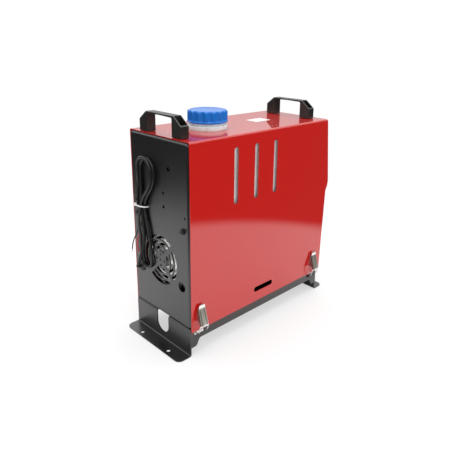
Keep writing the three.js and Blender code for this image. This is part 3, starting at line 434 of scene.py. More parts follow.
def rounded_box(name, x, y, z, plane="xy", corner=1.0, edge=0.3):
    """A block with a rounded rectangle as its outline. x, y and z are (low, high) in mm."""
    ranges = (x, y, z)
    first, second, third = AXES[plane]
    outline = rectangle(*zip(ranges[first], ranges[second]), corner)
    return block(name, outline, plane, *ranges[third], edge=edge)


def pin(name, axis, radius, low, high, a, b, sides=32, edge=0):
    """A round bar along an axis. a and b place it on the other two, in X, Y, Z order."""
    turn = np.linspace(0, 2 * math.pi, sides, endpoint=False)
    circle = np.column_stack([a + radius * np.cos(turn), b + radius * np.sin(turn)])
    plane = {"x": "yz", "y": "xz", "z": "xy"}[axis]
    return block(name, circle, plane, low, high, edge=edge)


def lathe(name, profile, axis, along, a, b, sides=48):
    """A profile of (radius, height) in mm turned about an axis. Points on the axis close the ends."""
    profile = np.asarray(profile, float)
    turn = np.linspace(0, 2 * math.pi, sides, endpoint=False)
    rows = np.empty((len(profile), sides, 3))
    first, second, third = {"x": (1, 2, 0), "y": (0, 2, 1), "z": (0, 1, 2)}[axis]
    rows[..., first] = a + profile[:, :1] * np.cos(turn)
    rows[..., second] = b + profile[:, :1] * np.sin(turn)
    rows[..., third] = along + profile[:, 1:]
    closed = np.allclose(profile[0], profile[-1])
    if closed:
        return surface(name, rows[:-1] * MM, round_columns=True)
    return surface(name, rows * MM)


def bent_strip(name, middle, thickness, y0, y1):
    """A folded sheet: a middle line in the XZ plane thickened to both sides and carried along Y."""
    run = np.gradient(middle, axis=0)
    run /= np.linalg.norm(run, axis=1)[:, None]
    normal = np.column_stack([-run[:, 1], run[:, 0]]) * thickness / 2
    section = np.vstack([middle + normal, (middle - normal)[::-1]])
    rows = np.empty((2, len(section), 3))
    rows[..., 0] = section[:, 0]
    rows[..., 2] = section[:, 1]
    rows[0, :, 1] = y0
    rows[1, :, 1] = y1
    return surface(name, rows * MM)


def fold_line(corners, steps=7):
    """An open line through corners (x, z, radius), whose first and last points are plain ends."""
    ends = [np.array([corners[0][:2]], float), np.array([corners[-1][:2]], float)]
    closed = corner_arcs([(*c[:2], max(c[2], 0.01)) for c in corners], steps)
    return np.vstack([ends[0], closed[steps:-steps], ends[1]])


def s_curve(x0, z0, x1, z1, steps=9):
    """A smooth step from one level to another: half a cosine wave."""
    t = np.linspace(0, 1, steps)
    return np.column_stack([x0 + (x1 - x0) * t, z0 + (z1 - z0) * (1 - np.cos(math.pi * t)) / 2])


def combine(base, tools, operation):
    """Cuts tools from a piece, adds them to it, or keeps what lies in both, and removes the tools."""
    for tool in tools:
        change = base.modifiers.new(operation.lower(), "BOOLEAN")
        change.operation = operation
        change.solver = "EXACT"
        change.object = tool
    bake(base)
    for tool in tools:
        bpy.data.objects.remove(tool)
    return base


def soften(obj, width=0.25, segments=2, angle=40):
    """Rounds the sharp edges of a piece a little, as paint and deburring do."""
    rounding = obj.modifiers.new("soft_edges", "BEVEL")
    rounding.width = width * MM
    rounding.segments = segments
    rounding.limit_method = "ANGLE"
    rounding.angle_limit = math.radians(angle)
    bake(obj)
    rounded = bmesh.new()
    rounded.from_mesh(obj.data)
    bmesh.ops.dissolve_degenerate(rounded, edges=rounded.edges, dist=2e-6)
    rounded.to_mesh(obj.data)
    rounded.free()
    return obj


def joined(name, pieces):
    """Makes one mesh of several separate shells, such as a set of cutters that don't touch."""
    merged = bmesh.new()
    for piece in pieces:
        merged.from_mesh(piece.data)
        bpy.data.objects.remove(piece)
    mesh = bpy.data.meshes.new(name)
    merged.to_mesh(mesh)
    merged.free()
    obj = bpy.data.objects.new(name, mesh)
    bpy.context.scene.collection.objects.link(obj)
    return obj


def move_points(obj, moved):
    """Moves the points of a piece's mesh by a function of their array. Its object stays at the origin."""
    points = np.empty(len(obj.data.vertices) * 3)
    obj.data.vertices.foreach_get("co", points)
    obj.data.vertices.foreach_set("co", moved(points.reshape(-1, 3)).ravel())
    obj.data.update()
    return obj


def turn_about_z(obj, angle, x, y):
    """Turns a piece's own points about an upright line."""
    middle = np.array([x, y, 0]) * MM
    spin = np.array([[math.cos(angle), -math.sin(angle), 0], [math.sin(angle), math.cos(angle), 0], [0, 0, 1]])
    return move_points(obj, lambda points: (points - middle) @ spin.T + middle)


def onto_face(obj, x, z, tilt):
    """Moves a piece made about the origin, with X leaving the sheet, onto a leaning face of the cover."""
    lean = np.array([[math.cos(tilt), 0, math.sin(tilt)], [0, 1, 0], [-math.sin(tilt), 0, math.cos(tilt)]])
    return move_points(obj, lambda points: points @ lean.T + np.array([x, 0, z]) * MM)


# ---------------------------------------------------------------- power cable and its two wires
# A round sheathed two-core cable, wound into a hank for transport. It comes out of the grommet, goes
# up and down the rear panel in two layers and ends in a red and a black wire, each with a bare tip.
PANEL_X = -169.5  # outer face of the rear panel
NEAR, OVER = 3.1, 8.9  # how far out of the panel the two layers of the hank lie
TIE_Z = 236
CABLE_HOLE = (55.6, 121)


def at(depth, y, z):
    return (PANEL_X - depth, y, z)


def loop_arc(y, z, radius, from_deg, to_deg, from_depth, to_depth, count=7):
    """Points on a circle in the panel's plane, easing from one depth to another."""
    turn = np.radians(np.linspace(from_deg, to_deg, count))
    depth = np.linspace(from_depth, to_depth, count)
    return [at(*point) for point in zip(depth, y + radius * np.cos(turn), z + radius * np.sin(turn))]


CABLE_ROUTE = [
    at(-1.5, *CABLE_HOLE),  # inside the grommet
    at(3.4, *CABLE_HOLE),
    at(7.6, 55, 121.6),
    at(11.2, 53.3, 123.2),
    at(13.5, 50.7, 125.7),
    at(14.3, 47.7, 128.8),
    at(14, 44.4, 135.5),
    at(12.2, 41.8, 145.5),
    at(9, 40.4, 156),
    at(5.4, 40, 168),
    at(3.4, 40.5, 181),
    at(NEAR, 42.2, 200),
    at(NEAR, 43.8, 219),
    at(NEAR, 44, TIE_Z),  # up through the tie
    at(NEAR, 44, 262),
    *loop_arc(27, 303, 17.2, 4, 176, NEAR, NEAR),  # top loop, towards the middle of the panel
    at(NEAR, 10.2, 288),
    at(NEAR, 15.2, 274),
    at(NEAR, 25, 260.5),
    at(NEAR, 33, 248.5),
    at(NEAR, 36.2, TIE_Z),  # down through the tie
    at(NEAR, 32.6, 215),
    at(NEAR, 26.4, 190),
    at(NEAR, 22.8, 164),
    *loop_arc(37, 141, 15, 176, 364, NEAR, NEAR),  # bottom loop
    at(NEAR, 52, 160),
    at(3.8, 51.4, 180),
    at(7.2, 49.8, 199),
    at(OVER, 46, 217),
    at(OVER, 41, TIE_Z),  # up through the tie, over the first turn
    at(OVER, 35, 249),
    at(OVER, 26, 262),
    at(OVER, 15.6, 275.5),
    at(OVER, 10.6, 290),
    *loop_arc(29.2, 303.5, 19.2, 174, 66, OVER, OVER, 5),  # second top loop, back to the edge
    *loop_arc(29.2, 303.5, 19.2, 46, 8, 8.5, 7.4, 3),
    at(5.4, 50.4, 290),
    at(3.3, 52.8, 276),
    at(NEAR, 55.4, 256),
    at(NEAR, 55.4, TIE_Z),  # down through the tie
    at(NEAR, 52.2, 225),
    at(NEAR, 51.8, 214),
    at(NEAR, 54, 204),
    at(3.7, 56.4, 194),
]
CABLE_DIAMETER = 5
SHEATH = finish("cable_sheath", (0.009, 0.009, 0.0085), 0.36, grain=1.1, mottle=0.5, bump=0.3, depth=0.05)

cable_path, cable_length = smooth_route(np.array(CABLE_ROUTE) * MM, 620)
power_cable = round_tube("sheathed_cable", cable_path, CABLE_DIAMETER / 2 * MM, 16)
dress(power_cable, SHEATH, "frame", "black_rubber", "power_cable", smooth=60)

# A pale shrink sleeve closes the sheath where the two wires leave it.
sheath_end = cable_path[-1]
SLEEVE_POINTS = 26
sleeve_path = cable_path[-SLEEVE_POINTS:]
sleeve_bulge = np.interp(np.arange(SLEEVE_POINTS), [0, 4, 20, 25], [2.55, 2.85, 2.85, 2.3]) * MM
shrink_sleeve = round_tube("shrink_sleeve", sleeve_path, sleeve_bulge, 16)
PALE_SLEEVE = finish("pale_shrink_sleeve", (0.62, 0.55, 0.53), 0.35, mottle=0.15)
dress(shrink_sleeve, PALE_SLEEVE, "frame", "black_rubber", smooth=60)

WIRES = {
    "red_wire": [(-0.1, -1.3, -2.9), (-0.4, -1.6, -12), (-1.4, 1.6, -21), (-1.8, 3.6, -30), (-1.6, 2.4, -38),
                 (-1.6, 0.2, -46)],
    "black_wire": [(-0.1, 1.3, -2.9), (-1.6, 2.6, -10), (-4.4, 7, -20), (-6.4, 10.4, -31), (-7.4, 12, -43)],
}
WIRE_DIAMETER = 2
BARE_TIP = 6
wire_finish = {
    "red_wire": (finish("red_insulation", (0.52, 0.02, 0.03), 0.3, grain=0.9), "red_insulation"),
    "black_wire": (finish("black_insulation", (0.02, 0.02, 0.02), 0.35, grain=0.9), "black_rubber"),
}
TINNED = finish("tinned_copper", (0.62, 0.58, 0.52), 0.3, grain=0.3, bump=0.5, depth=0.05, Metallic=1.0)
for node, steps in WIRES.items():
    route = [sheath_end + np.array(step) * MM for step in steps]
    path, length = smooth_route(route, 120)
    material, slot_name = wire_finish[node]
    insulation = round_tube("insulated_" + node, path, WIRE_DIAMETER / 2 * MM, 12)
    dress(insulation, material, "frame", slot_name, node, smooth=60)
    end_run = (path[-1] - path[-3]) / np.linalg.norm(path[-1] - path[-3])
    tip_path = path[-1] + end_run * np.linspace(-0.5, BARE_TIP, 24)[:, None] * MM
    tip_turn = np.linspace(0, 9, 24)
    tip = round_tube("bare_tip_of_" + node, tip_path, (0.55 + 0.08 * np.cos(tip_turn)) * MM, 8)
    dress(tip, TINNED, "frame", "zinc_steel", smooth=60)


# ---------------------------------------------------------------- cable tie
# A white nylon strap passes round the hank and through two holes of the panel, so that it holds the
# cable to it. The strap is drawn through its own square head.
TIE_THICKNESS = 1.1
TIE_LEFT, TIE_RIGHT = 60.3, 32
tie_inside = corner_arcs([
    (PANEL_X + 4.5, TIE_LEFT, 1.2), (PANEL_X - 6.3, TIE_LEFT, 1.6), (PANEL_X - 12.2, 45.5, 1.6),
    (PANEL_X - 12.2, 38, 1.6), (PANEL_X - 6, TIE_RIGHT, 1.6), (PANEL_X + 4.5, TIE_RIGHT, 1.2),
], steps=8)
tie_middle = inset(tie_inside, -TIE_THICKNESS / 2)
band_section = np.array([(-0.5, -1.0), (-0.45, -1.25), (0.45, -1.25), (0.5, -1.0),
                         (0.5, 1.0), (0.45, 1.25), (-0.45, 1.25), (-0.5, 1.0)])
tie_out = inset(tie_middle, -1.0) - tie_middle
tie_rows = np.empty((len(tie_middle), len(band_section), 3))
tie_rows[..., :2] = tie_middle[:, None] + tie_out[:, None] * band_section[None, :, :1]
tie_rows[..., 2] = TIE_Z + band_section[None, :, 1]
tie_rows[..., 2] += 0.2 * np.clip(PANEL_X - tie_rows[..., 0], 0, None)  # it lies a little higher further out
tie_band = surface("tie_band", tie_rows * MM, round_columns=True)
NYLON = finish("white_nylon", (0.8, 0.8, 0.78), 0.35, grain=0.8, mottle=0.03, Subsurface_Weight=0.1)
dress(tie_band, NYLON, "frame", "white_nylon", "cable_tie", smooth=40)


TIE_HEAD = (PANEL_X - 11.2, 51.5)
HEAD_Z = TIE_Z + 2.2
tie_head = rounded_box("tie_head", (TIE_HEAD[0] - 2, TIE_HEAD[0] + 2), (TIE_HEAD[1] - 2.4, TIE_HEAD[1] + 2.4),
                       (HEAD_Z - 2, HEAD_Z + 2), corner=0.9, edge=0.6)
turn_about_z(tie_head, -0.36, *TIE_HEAD)
dress(tie_head, NYLON, "frame", "white_nylon")


# ---------------------------------------------------------------- base frame
# One folded sheet makes the deck, both legs and the two feet that are screwed down. Rails with gussets
# and catch windows are welded along its sides. It is powder coated in satin black.
LEG_X, HALF_WIDTH, DECK = 169.5, 75.7, 50
PLATE = 2
REACH = 25.8
FOOT_CORNER = 10
THROUGH = (-90, 90)  # a cutter's length, past both sides of the cover
leg_mid = LEG_X - PLATE / 2
frame_line = fold_line([
    (-LEG_X - REACH, 1, 0), (-leg_mid, 1, 3), (-leg_mid, DECK - 1, 2.5),
    (leg_mid, DECK - 1, 2.5), (leg_mid, 1, 3), (LEG_X + REACH, 1, 0),
])
folded_sheet = bent_strip("folded_base", frame_line, PLATE, -HALF_WIDTH, HALF_WIDTH)
tip = LEG_X + REACH
foot_outline = rounded_box("foot_outline", (-tip, tip), (-HALF_WIDTH, HALF_WIDTH), (-5, 60), corner=FOOT_CORNER)
combine(folded_sheet, [foot_outline], "INTERSECT")

GUSSET_Z, RAIL_Z, GUSSET_FULL, GUSSET_END = 15.5, 28.5, 158, 148


rail_outline = np.vstack([
    [(-LEG_X + 0.4, DECK - 1.5), (-LEG_X + 0.4, GUSSET_Z)],
    s_curve(-GUSSET_FULL, GUSSET_Z, -GUSSET_END, RAIL_Z),
    s_curve(GUSSET_END, RAIL_Z, GUSSET_FULL, GUSSET_Z),
    [(LEG_X - 0.4, GUSSET_Z), (LEG_X - 0.4, DECK - 1.5)],
])
rails = [block("rail", rail_outline, "xz", *span, edge=0.2, steps=3)
         for span in ((-HALF_WIDTH, -HALF_WIDTH + PLATE), (HALF_WIDTH - PLATE, HALF_WIDTH))]
combine(folded_sheet, rails, "UNION")

CATCH_X, CATCH_HALF, CATCH_Z0, CATCH_Z1 = 150, 11, 36, 44
NOTCH_HALF, NOTCH_Z = 16, 13.5
SCREW_X, SCREW_Y, SCREW_R = 187, 38, 3.5
STUB_X, STUB_R = (38, -8), 15
base_cutters = []
for x in (-CATCH_X, CATCH_X):
    base_cutters.append(rounded_box("catch_window", (x - CATCH_HALF, x + CATCH_HALF), THROUGH,
                                    (CATCH_Z0, CATCH_Z1), plane="xz", corner=1.2))
notch_turn = np.linspace(math.pi, 2 * math.pi, 25)
notch_arc = np.column_stack([NOTCH_HALF * np.cos(notch_turn),
                             NOTCH_Z + NOTCH_HALF + NOTCH_HALF * np.sin(notch_turn)])
notch = np.vstack([[(NOTCH_HALF, DECK), (-NOTCH_HALF, DECK)], notch_arc])
for side in (-1, 1):
    base_cutters.append(block("pipe_notch", notch, "yz", *sorted((side * (LEG_X - 6), side * (LEG_X + 5)))))
    for y in (-SCREW_Y, SCREW_Y):
        base_cutters.append(pin("screw_hole", "z", SCREW_R, -3, 6, side * SCREW_X, y, 24))
for x in STUB_X:
    base_cutters.append(pin("stub_hole", "z", STUB_R, 40, 60, x, 0, 32))
combine(folded_sheet, [joined("base_cutters", base_cutters)], "DIFFERENCE")
soften(folded_sheet, 0.3)
SATIN_BLACK = finish("satin_black_powder", (0.005, 0.005, 0.005), 0.31, grain=0.5, mottle=0.25, change=0.05,
                     bump=0.12, IOR=1.75)
dress(folded_sheet, SATIN_BLACK, "frame", "black_paint", "base_frame")

# ---------------------------------------------------------------- rear panel
# A pan of black sheet with its returns turned forwards into the cover. Rings of slots let the air in,
# and holes take the cable, bolts and a tie.
CORE_Z = 151
COVER_TOP = 362
PANEL_SHEET = 1.5
pan_half = HALF_WIDTH - 0.1
pan_top = COVER_TOP - 1.8
PAN_BEND = 4.5
PAN_DEPTH = 15
pan_low = DECK + 0.4


def pan_outline(draw_in):
    """The panel's outline, drawn in by a distance, with its corner radii shortened as much."""
    h = pan_half - draw_in
    return rectangle((-h, pan_low + draw_in), (h, pan_top - draw_in), 6 - draw_in, steps=10)


def arc_slot(name, inner, outer, sweep, low, high):
    """A cutter for a curved slot between two radii about the burner's axis."""
    outline = [np.column_stack([radius * np.cos(turn), CORE_Z + radius * np.sin(turn)])
               for radius, turn in ((outer, sweep), (inner, sweep[::-1]))]
    return block(name, np.vstack(outline), "yz", low, high)


# From the middle of the outer face, round the bend and along the return, then back inside the sheet.
pan_turn = np.linspace(0, math.pi / 2, 8)
outer_bend = [(PAN_BEND * (1 - math.sin(t)), PAN_BEND * (1 - math.cos(t))) for t in pan_turn]
inner_radius = PAN_BEND - PANEL_SHEET
inner_bend = [(PANEL_SHEET + inner_radius * (1 - math.sin(t)), PANEL_SHEET + inner_radius * (1 - math.cos(t)))
              for t in pan_turn[::-1]]
pan_section = [*outer_bend, (0, PAN_DEPTH - 0.2), (0.2, PAN_DEPTH), (PANEL_SHEET - 0.2, PAN_DEPTH),
               (PANEL_SHEET, PAN_DEPTH - 0.2), *inner_bend]
pan_rows = np.array([np.column_stack([np.full(40, PANEL_X + deep), pan_outline(draw_in)])
                     for draw_in, deep in pan_section])
rear_panel = surface("rear_pan", pan_rows * MM)

RINGS = ((36.4, 43.7), (26.7, 34), (15.8, 24))
SPOKE_HALF = 4
BOLT_Y, BOLT_Z = 61, 219.5
TIE_HOLES = (60.9, 31.4)
panel_holes = []
for inner, outer in RINGS:
    half_angle = math.pi / 4 - math.asin(SPOKE_HALF / ((inner + outer) / 2))
    for quarter in range(4):
        sweep = np.linspace(-half_angle, half_angle, 15) + quarter * math.pi / 2
        panel_holes.append(arc_slot("air_slot", inner, outer, sweep, PANEL_X - 2, PANEL_X + 4))
PITCH = 9.9
ROUND_HOLES = [
    (0, CORE_Z, 2), (PITCH, CORE_Z, 2), (-PITCH, CORE_Z, 2), (0, CORE_Z + PITCH, 2), (0, CORE_Z - PITCH, 2),
    (*CABLE_HOLE, 8.4), (-CABLE_HOLE[0], CABLE_HOLE[1], 8.4), (BOLT_Y, BOLT_Z, 3.3), (-BOLT_Y, BOLT_Z, 3.3),
    (66, 242, 2), (-66, 242, 2), (-12, 271, 2.6), (-12, 247.5, 2.6), (-27, 313, 3.9),
    *[(y, TIE_Z, 2.6) for y in TIE_HOLES],
]
for y, z, radius in ROUND_HOLES:
    panel_holes.append(pin("panel_hole", "x", radius, PANEL_X - 2, PANEL_X + 4, y, z, 28))
combine(rear_panel, [joined("panel_holes", panel_holes)], "DIFFERENCE")
soften(rear_panel, 0.22)
dress(rear_panel, SATIN_BLACK, "frame", "black_paint", "rear_panel")


ZINC = finish("zinc_plated_steel", (0.42, 0.42, 0.4), 0.32, grain=0.4, mottle=0.15, bump=0.2, Metallic=1.0)

# Two flanged bolts hold the tank tray to the panel.
BLACK_BOLT = finish("black_oxide_steel", (0.03, 0.03, 0.03), 0.32, grain=0.4, mottle=0.2, Metallic=0.6)
for side, node in ((1, "panel_bolt_left"), (-1, "panel_bolt_right")):
    y = side * BOLT_Y
    flange = lathe("bolt_flange", [(0, 0.3), (5.5, 0.3), (5.5, 0.9), (5.1, 1.2), (0, 1.2)], "x", 0, y, BOLT_Z)
    # The flange is turned over, onto the panel's face.
    move_points(flange, lambda points: np.array([PANEL_X * MM, 0, 0]) + points * [-1, 1, 1])
    face_outwards(flange)
    hexagon = corner_arcs([(y + 4 * math.cos(k * math.pi / 3), BOLT_Z + 4 * math.sin(k * math.pi / 3), 0.4)
                           for k in range(6)], steps=3)
    head = block("bolt_head", hexagon, "yz", PANEL_X - 4.3, PANEL_X - 1.0, edge=0.5)
    shank = pin("bolt_shank", "x", 2.9, PANEL_X - 1.5, PANEL_X + 10.5, y, BOLT_Z, 24)
    recess = pin("bolt_recess", "x", 1.6, PANEL_X - 6, PANEL_X - 3, y, BOLT_Z, 16)
    combine(head, [flange, shank], "UNION")
    combine(head, [recess], "DIFFERENCE")
    face_outwards(head, 3e-6)
    dress(head, BLACK_BOLT, "frame", "zinc_steel", node)
    head.name = node.replace("panel_bolt", "flanged_bolt")

grommet_profile = [
    (2.9, -3.4), (4.6, -3.6), (6.4, -3.0), (8.8, -1.9), (9.8, -1.2), (10, -0.7), (9.9, -0.3), (8.1, -0.3),
    (8.1, 1.8), (9.5, 1.8), (9.2, 3.4), (8.4, 3.9), (2.9, 3.9), (2.9, -3.4),
]
grommet = lathe("rubber_grommet", grommet_profile, "x", PANEL_X, *CABLE_HOLE)
RUBBER = finish("black_rubber", (0.014, 0.014, 0.014), 0.62, grain=0.8, mottle=0.2, bump=0.25, depth=0.04)
dress(grommet, RUBBER, "frame", "black_rubber", "cable_grommet")

# ---------------------------------------------------------------- cover
# The red cover is one folded sheet, open behind and below. It is dipped in glossy enamel, so every fold
# and slot has a rounded, brighter edge.
COVER_REAR, COVER_HALF, COVER_LOW = -168, 77.5, 45
SHEET = 1.2
BEND = 3.4
PAST = 14
NOSE_X, NOSE_Z, TOP_X, HEEL_X, HEEL_Z, FOOT_X = 190.8, 235, 177, 184.5, 216, 178.5
cover_side = corner_arcs([
    (COVER_REAR - PAST, COVER_LOW - PAST, 6), (FOOT_X - 0.4, COVER_LOW - PAST, 6), (HEEL_X, HEEL_Z, 6),
    (NOSE_X - 1, NOSE_Z - 8, 6), (NOSE_X + 0.15, NOSE_Z + 2, 7), (TOP_X, COVER_TOP, 6),
    (COVER_REAR - PAST, COVER_TOP, 6),
], steps=9)
red_cover = block("red_cover", cover_side, "xz", -COVER_HALF, COVER_HALF, edge=BEND, steps=8)
inside_outline = inset(cover_side, SHEET)
inside_outline[inside_outline[:, 0] < COVER_REAR, 0] -= 10
inside_outline[inside_outline[:, 1] < COVER_LOW, 1] -= 10
cover_inside = block("cover_inside", inside_outline, "xz", -COVER_HALF + SHEET, COVER_HALF - SHEET,
                     edge=BEND - SHEET, steps=8)
combine(red_cover, [cover_inside], "DIFFERENCE")
open_sides = [rounded_box("open_rear", (COVER_REAR - 60, COVER_REAR), THROUGH, (0, 420), corner=0.5),
              rounded_box("open_foot", (-300, 300), THROUGH, (0, COVER_LOW), corner=0.5)]
combine(red_cover, open_sides, "DIFFERENCE")

SLOT_X = [-70.8 + 48 * i for i in range(3)]
SLOT_Z, SLOT_HALF = (246.5, 342), 4.7
LOW_SLOT = (3.5, 24.8, 69, 4.8)  # its middle x, half length, middle z and half height
NECK_X, COLLAR_R = -65, 33.8
slot_spans = [("sight_slot", (x - SLOT_HALF, x + SLOT_HALF), SLOT_Z, SLOT_HALF) for x in SLOT_X]
x, half, z, half_height = LOW_SLOT
slot_spans.append(("low_slot", (x - half, x + half), (z - half_height, z + half_height), half_height))
cover_holes = [rounded_box(name, across, THROUGH, height, plane="xz", corner=round_end - 0.05)
               for name, across, height, round_end in slot_spans]
cover_holes.append(pin("neck_hole", "z", COLLAR_R + 1, COVER_TOP - 8, COVER_TOP + 8, NECK_X, 0, 64))

DISPLAY_Z, OUTLET_Z = 299, CORE_Z
display_x = NOSE_X + (TOP_X - NOSE_X) * (DISPLAY_Z - NOSE_Z) / (COVER_TOP - NOSE_Z)
outlet_x = FOOT_X + (HEEL_X - FOOT_X) * (OUTLET_Z - COVER_LOW) / (HEEL_Z - COVER_LOW)
DISPLAY_TILT = -math.atan2(NOSE_X - TOP_X, COVER_TOP - NOSE_Z)
OUTLET_TILT = math.atan2(HEEL_X - FOOT_X, HEEL_Z - COVER_LOW)


def on_display(obj):
    return onto_face(obj, display_x, DISPLAY_Z, DISPLAY_TILT)


def on_outlet(obj):
    return onto_face(obj, outlet_x, OUTLET_Z, OUTLET_TILT)


cover_holes.append(on_display(rounded_box("display_hole", (-8, 8), (-46.6, 46.6), (-27.6, 27.6), plane="yz",
                                          corner=2, edge=0)))
cover_holes.append(on_outlet(pin("outlet_hole", "x", 43.6, -8, 8, 0, 0, 64)))
combine(red_cover, [joined("cover_holes", cover_holes)], "DIFFERENCE")
soften(red_cover, 0.25)
RED_ENAMEL = finish("red_enamel", (0.5, 0.006, 0.003), 0.5, grain=2.4, mottle=0.03, change=0.04, bump=0.05,
                    Specular_IOR_Level=0.05, Coat_Weight=1.0, Coat_Roughness=0.05, Coat_IOR=1.75)
dress(red_cover, RED_ENAMEL, "frame", "red_paint", "cover")

LABEL_X, LABEL_Y = (41, 80), (-14, 14)
label = rounded_box("blank_label", LABEL_X, LABEL_Y, (COVER_TOP + 0.02, COVER_TOP + 0.22), corner=2, edge=0.05)
LABEL_PAPER = finish("white_label_film", (0.78, 0.78, 0.77), 0.3, grain=0.5, mottle=0.02)
dress(label, LABEL_PAPER, "frame", "white_nylon")

# ---------------------------------------------------------------- carrying handles
# Each handle is one black nylon moulding, screwed down from inside the cover. Its legs are hollow,
# with an open pocket in each outer slope, and the bar between them is thin.
HANDLE_HALF, HANDLE_LEG, HANDLE_HEIGHT, SLOPE_FOOT, SLOPE_IN, BAR = 53.5, 22, 33, 19, 18, 3.2
HANDLE_WIDTH = 16
HANDLE_LOW = COVER_TOP + 0.3
MOULDED = finish("moulded_black_nylon", (0.011, 0.01, 0.009), 0.36, grain=0.9, mottle=0.2, bump=0.3,
                 depth=0.03, IOR=1.6)
inner = HANDLE_HALF - HANDLE_LEG
handle_top = HANDLE_LOW + HANDLE_HEIGHT
arch = corner_arcs([
    (HANDLE_HALF, HANDLE_LOW, 1.2), (HANDLE_HALF, HANDLE_LOW + SLOPE_FOOT, 2),
    (HANDLE_HALF - SLOPE_IN, handle_top, 3), (-HANDLE_HALF + SLOPE_IN, handle_top, 3),
    (-HANDLE_HALF, HANDLE_LOW + SLOPE_FOOT, 2), (-HANDLE_HALF, HANDLE_LOW, 1.2),
])
finger_gap = corner_arcs([
    (inner, HANDLE_LOW - 9, 1), (inner, handle_top - BAR, 2.5), (0, handle_top - BAR + 0.7, 1),
    (-inner, handle_top - BAR, 2.5), (-inner, HANDLE_LOW - 9, 1),
])
WALL = 1.8
for x, node in ((-156.5, "rear_handle"), (151.5, "front_handle")):
    grip = block("moulded_" + node, arch, "yz", x - HANDLE_WIDTH / 2, x + HANDLE_WIDTH / 2, edge=1.0, steps=5)
    gap = block("finger_gap", finger_gap, "yz", x - HANDLE_WIDTH, x + HANDLE_WIDTH)
    combine(grip, [gap], "DIFFERENCE")
    pockets = []
    for side in (1, -1):
        outer_wall, slope_in = HANDLE_HALF - WALL, HANDLE_HALF - SLOPE_IN
        pocket = corner_arcs([(side * outer_wall, HANDLE_LOW + 3, 1.2), (side * outer_wall, handle_top + 5, 1.2),
                              (side * slope_in, handle_top + 5, 1.2),
                              (side * (slope_in - 0.5), HANDLE_LOW + 3, 1.2)])
        pockets.append(block("pocket", pocket, "yz", x - HANDLE_WIDTH / 2 + WALL,
                             x + HANDLE_WIDTH / 2 - WALL, edge=0.8))
        pockets.append(pin("screw_hole", "z", 2.4, HANDLE_LOW - 2, HANDLE_LOW + 5, x,
                           side * (HANDLE_HALF - HANDLE_LEG / 2), 24))
    combine(grip, pockets, "DIFFERENCE")
    dress(soften(grip, 0.3), MOULDED, "frame", "black_plastic", node)

# ---------------------------------------------------------------- fuel tank
# A blow-moulded white polyethylene tank with soft corners and a neck that stands through the cover.
# Only the neck's collar and strips behind the slots are seen.
TANK_X, TANK_HALF, TANK_Z = (-158, 98), 71, (214.6, 350)
TANK_WALL, NECK_R, COLLAR_TOP = 2.5, 29.5, 368.2
tank_outline = rectangle((TANK_X[0], -TANK_HALF), (TANK_X[1], TANK_HALF), 14, steps=10)
tank = block("moulded_tank", tank_outline, "xy", *TANK_Z, edge=9, steps=8)
neck_profile = [
    (0, 340), (NECK_R, 340), (NECK_R, 348), (COLLAR_R, 348), (COLLAR_R, 367.4), (33, COLLAR_TOP),
    (NECK_R, COLLAR_TOP), (NECK_R, 373), (30.1, 373.6), (NECK_R, 374.4), (NECK_R, 377), (30.1, 377.6),
    (NECK_R, 378.4), (NECK_R, 385.6), (29, 386), (0, 386),
]
neck = lathe("neck", neck_profile, "z", 0, NECK_X, 0, 64)
spigot = pin("spigot", "x", 3.5, 90, 106, -30, 228, 24)
combine(tank, [neck, spigot], "UNION")
tank_hollow = block("tank_hollow", inset(tank_outline, TANK_WALL), "xy", TANK_Z[0] + TANK_WALL,
                    TANK_Z[1] - TANK_WALL, edge=6.5, steps=8)
bores = [pin("neck_bore", "z", 26, 340, 390, NECK_X, 0, 48),
         pin("spigot_bore", "x", 2, 88, 108, -30, 228, 16)]
combine(tank_hollow, bores, "UNION")
combine(tank, [tank_hollow], "DIFFERENCE")
POLYETHYLENE = finish("white_polyethylene", (0.78, 0.85, 0.85), 0.4, grain=9, mottle=0.45, change=0.2,
                      bump=0.6, depth=1.5)
dress(soften(tank, 0.4), POLYETHYLENE, "frame", "tank_plastic", "fuel_tank")

# ---------------------------------------------------------------- fuel cap and its seal
# A blue screw cap: a crowned top, a skirt with rounded grips and a scalloped flange at its foot. It is
# hollow, and a rubber ring inside it seals on the neck.
CAP_LOW, CAP_TOP, FLUTES = 372.6, 394, 16
CAP_ROOF, CAP_BORE = 388.4, 30.4
CAP_SIDES = FLUTES * 18
turn = np.linspace(0, 2 * math.pi, CAP_SIDES, endpoint=False)
grip_wave = ((1 + np.cos(turn * FLUTES)) / 2) ** 1.4  # 1 on a grip, 0 in the wide groove between two
cap_profile = np.array([
    # radius on a grip, depth of the groove there, height
    (30.6, 0, CAP_LOW + 0.1), (33.6, 0, CAP_LOW), (34.4, 0, CAP_LOW + 0.6), (34.5, 0, CAP_LOW + 2.3),
    (34.1, 0.2, CAP_LOW + 3.0), (33.9, 2.7, CAP_LOW + 3.5), (33.9, 3.2, CAP_LOW + 4.4), (33.9, 3.3, CAP_LOW + 6),
    (33.9, 3.3, CAP_TOP - 6), (33.8, 3.1, CAP_TOP - 4.2), (33.4, 2.7, CAP_TOP - 2.9), (32.5, 2.0, CAP_TOP - 1.8),
    (31.0, 1.1, CAP_TOP - 1.15), (29.8, 0.5, CAP_TOP - 0.95), (28.6, 0.1, CAP_TOP - 0.9),
    (27.6, 0, CAP_TOP - 1.15), (26.4, 0, CAP_TOP - 0.9), (22, 0, CAP_TOP - 0.45), (12, 0, CAP_TOP - 0.1),
    (0, 0, CAP_TOP), (0, 0, CAP_ROOF), (CAP_BORE, 0, CAP_ROOF), (CAP_BORE, 0, CAP_LOW + 0.1),
])
cap_radius = cap_profile[:, :1] - cap_profile[:, 1:2] * (1 - grip_wave)[None]
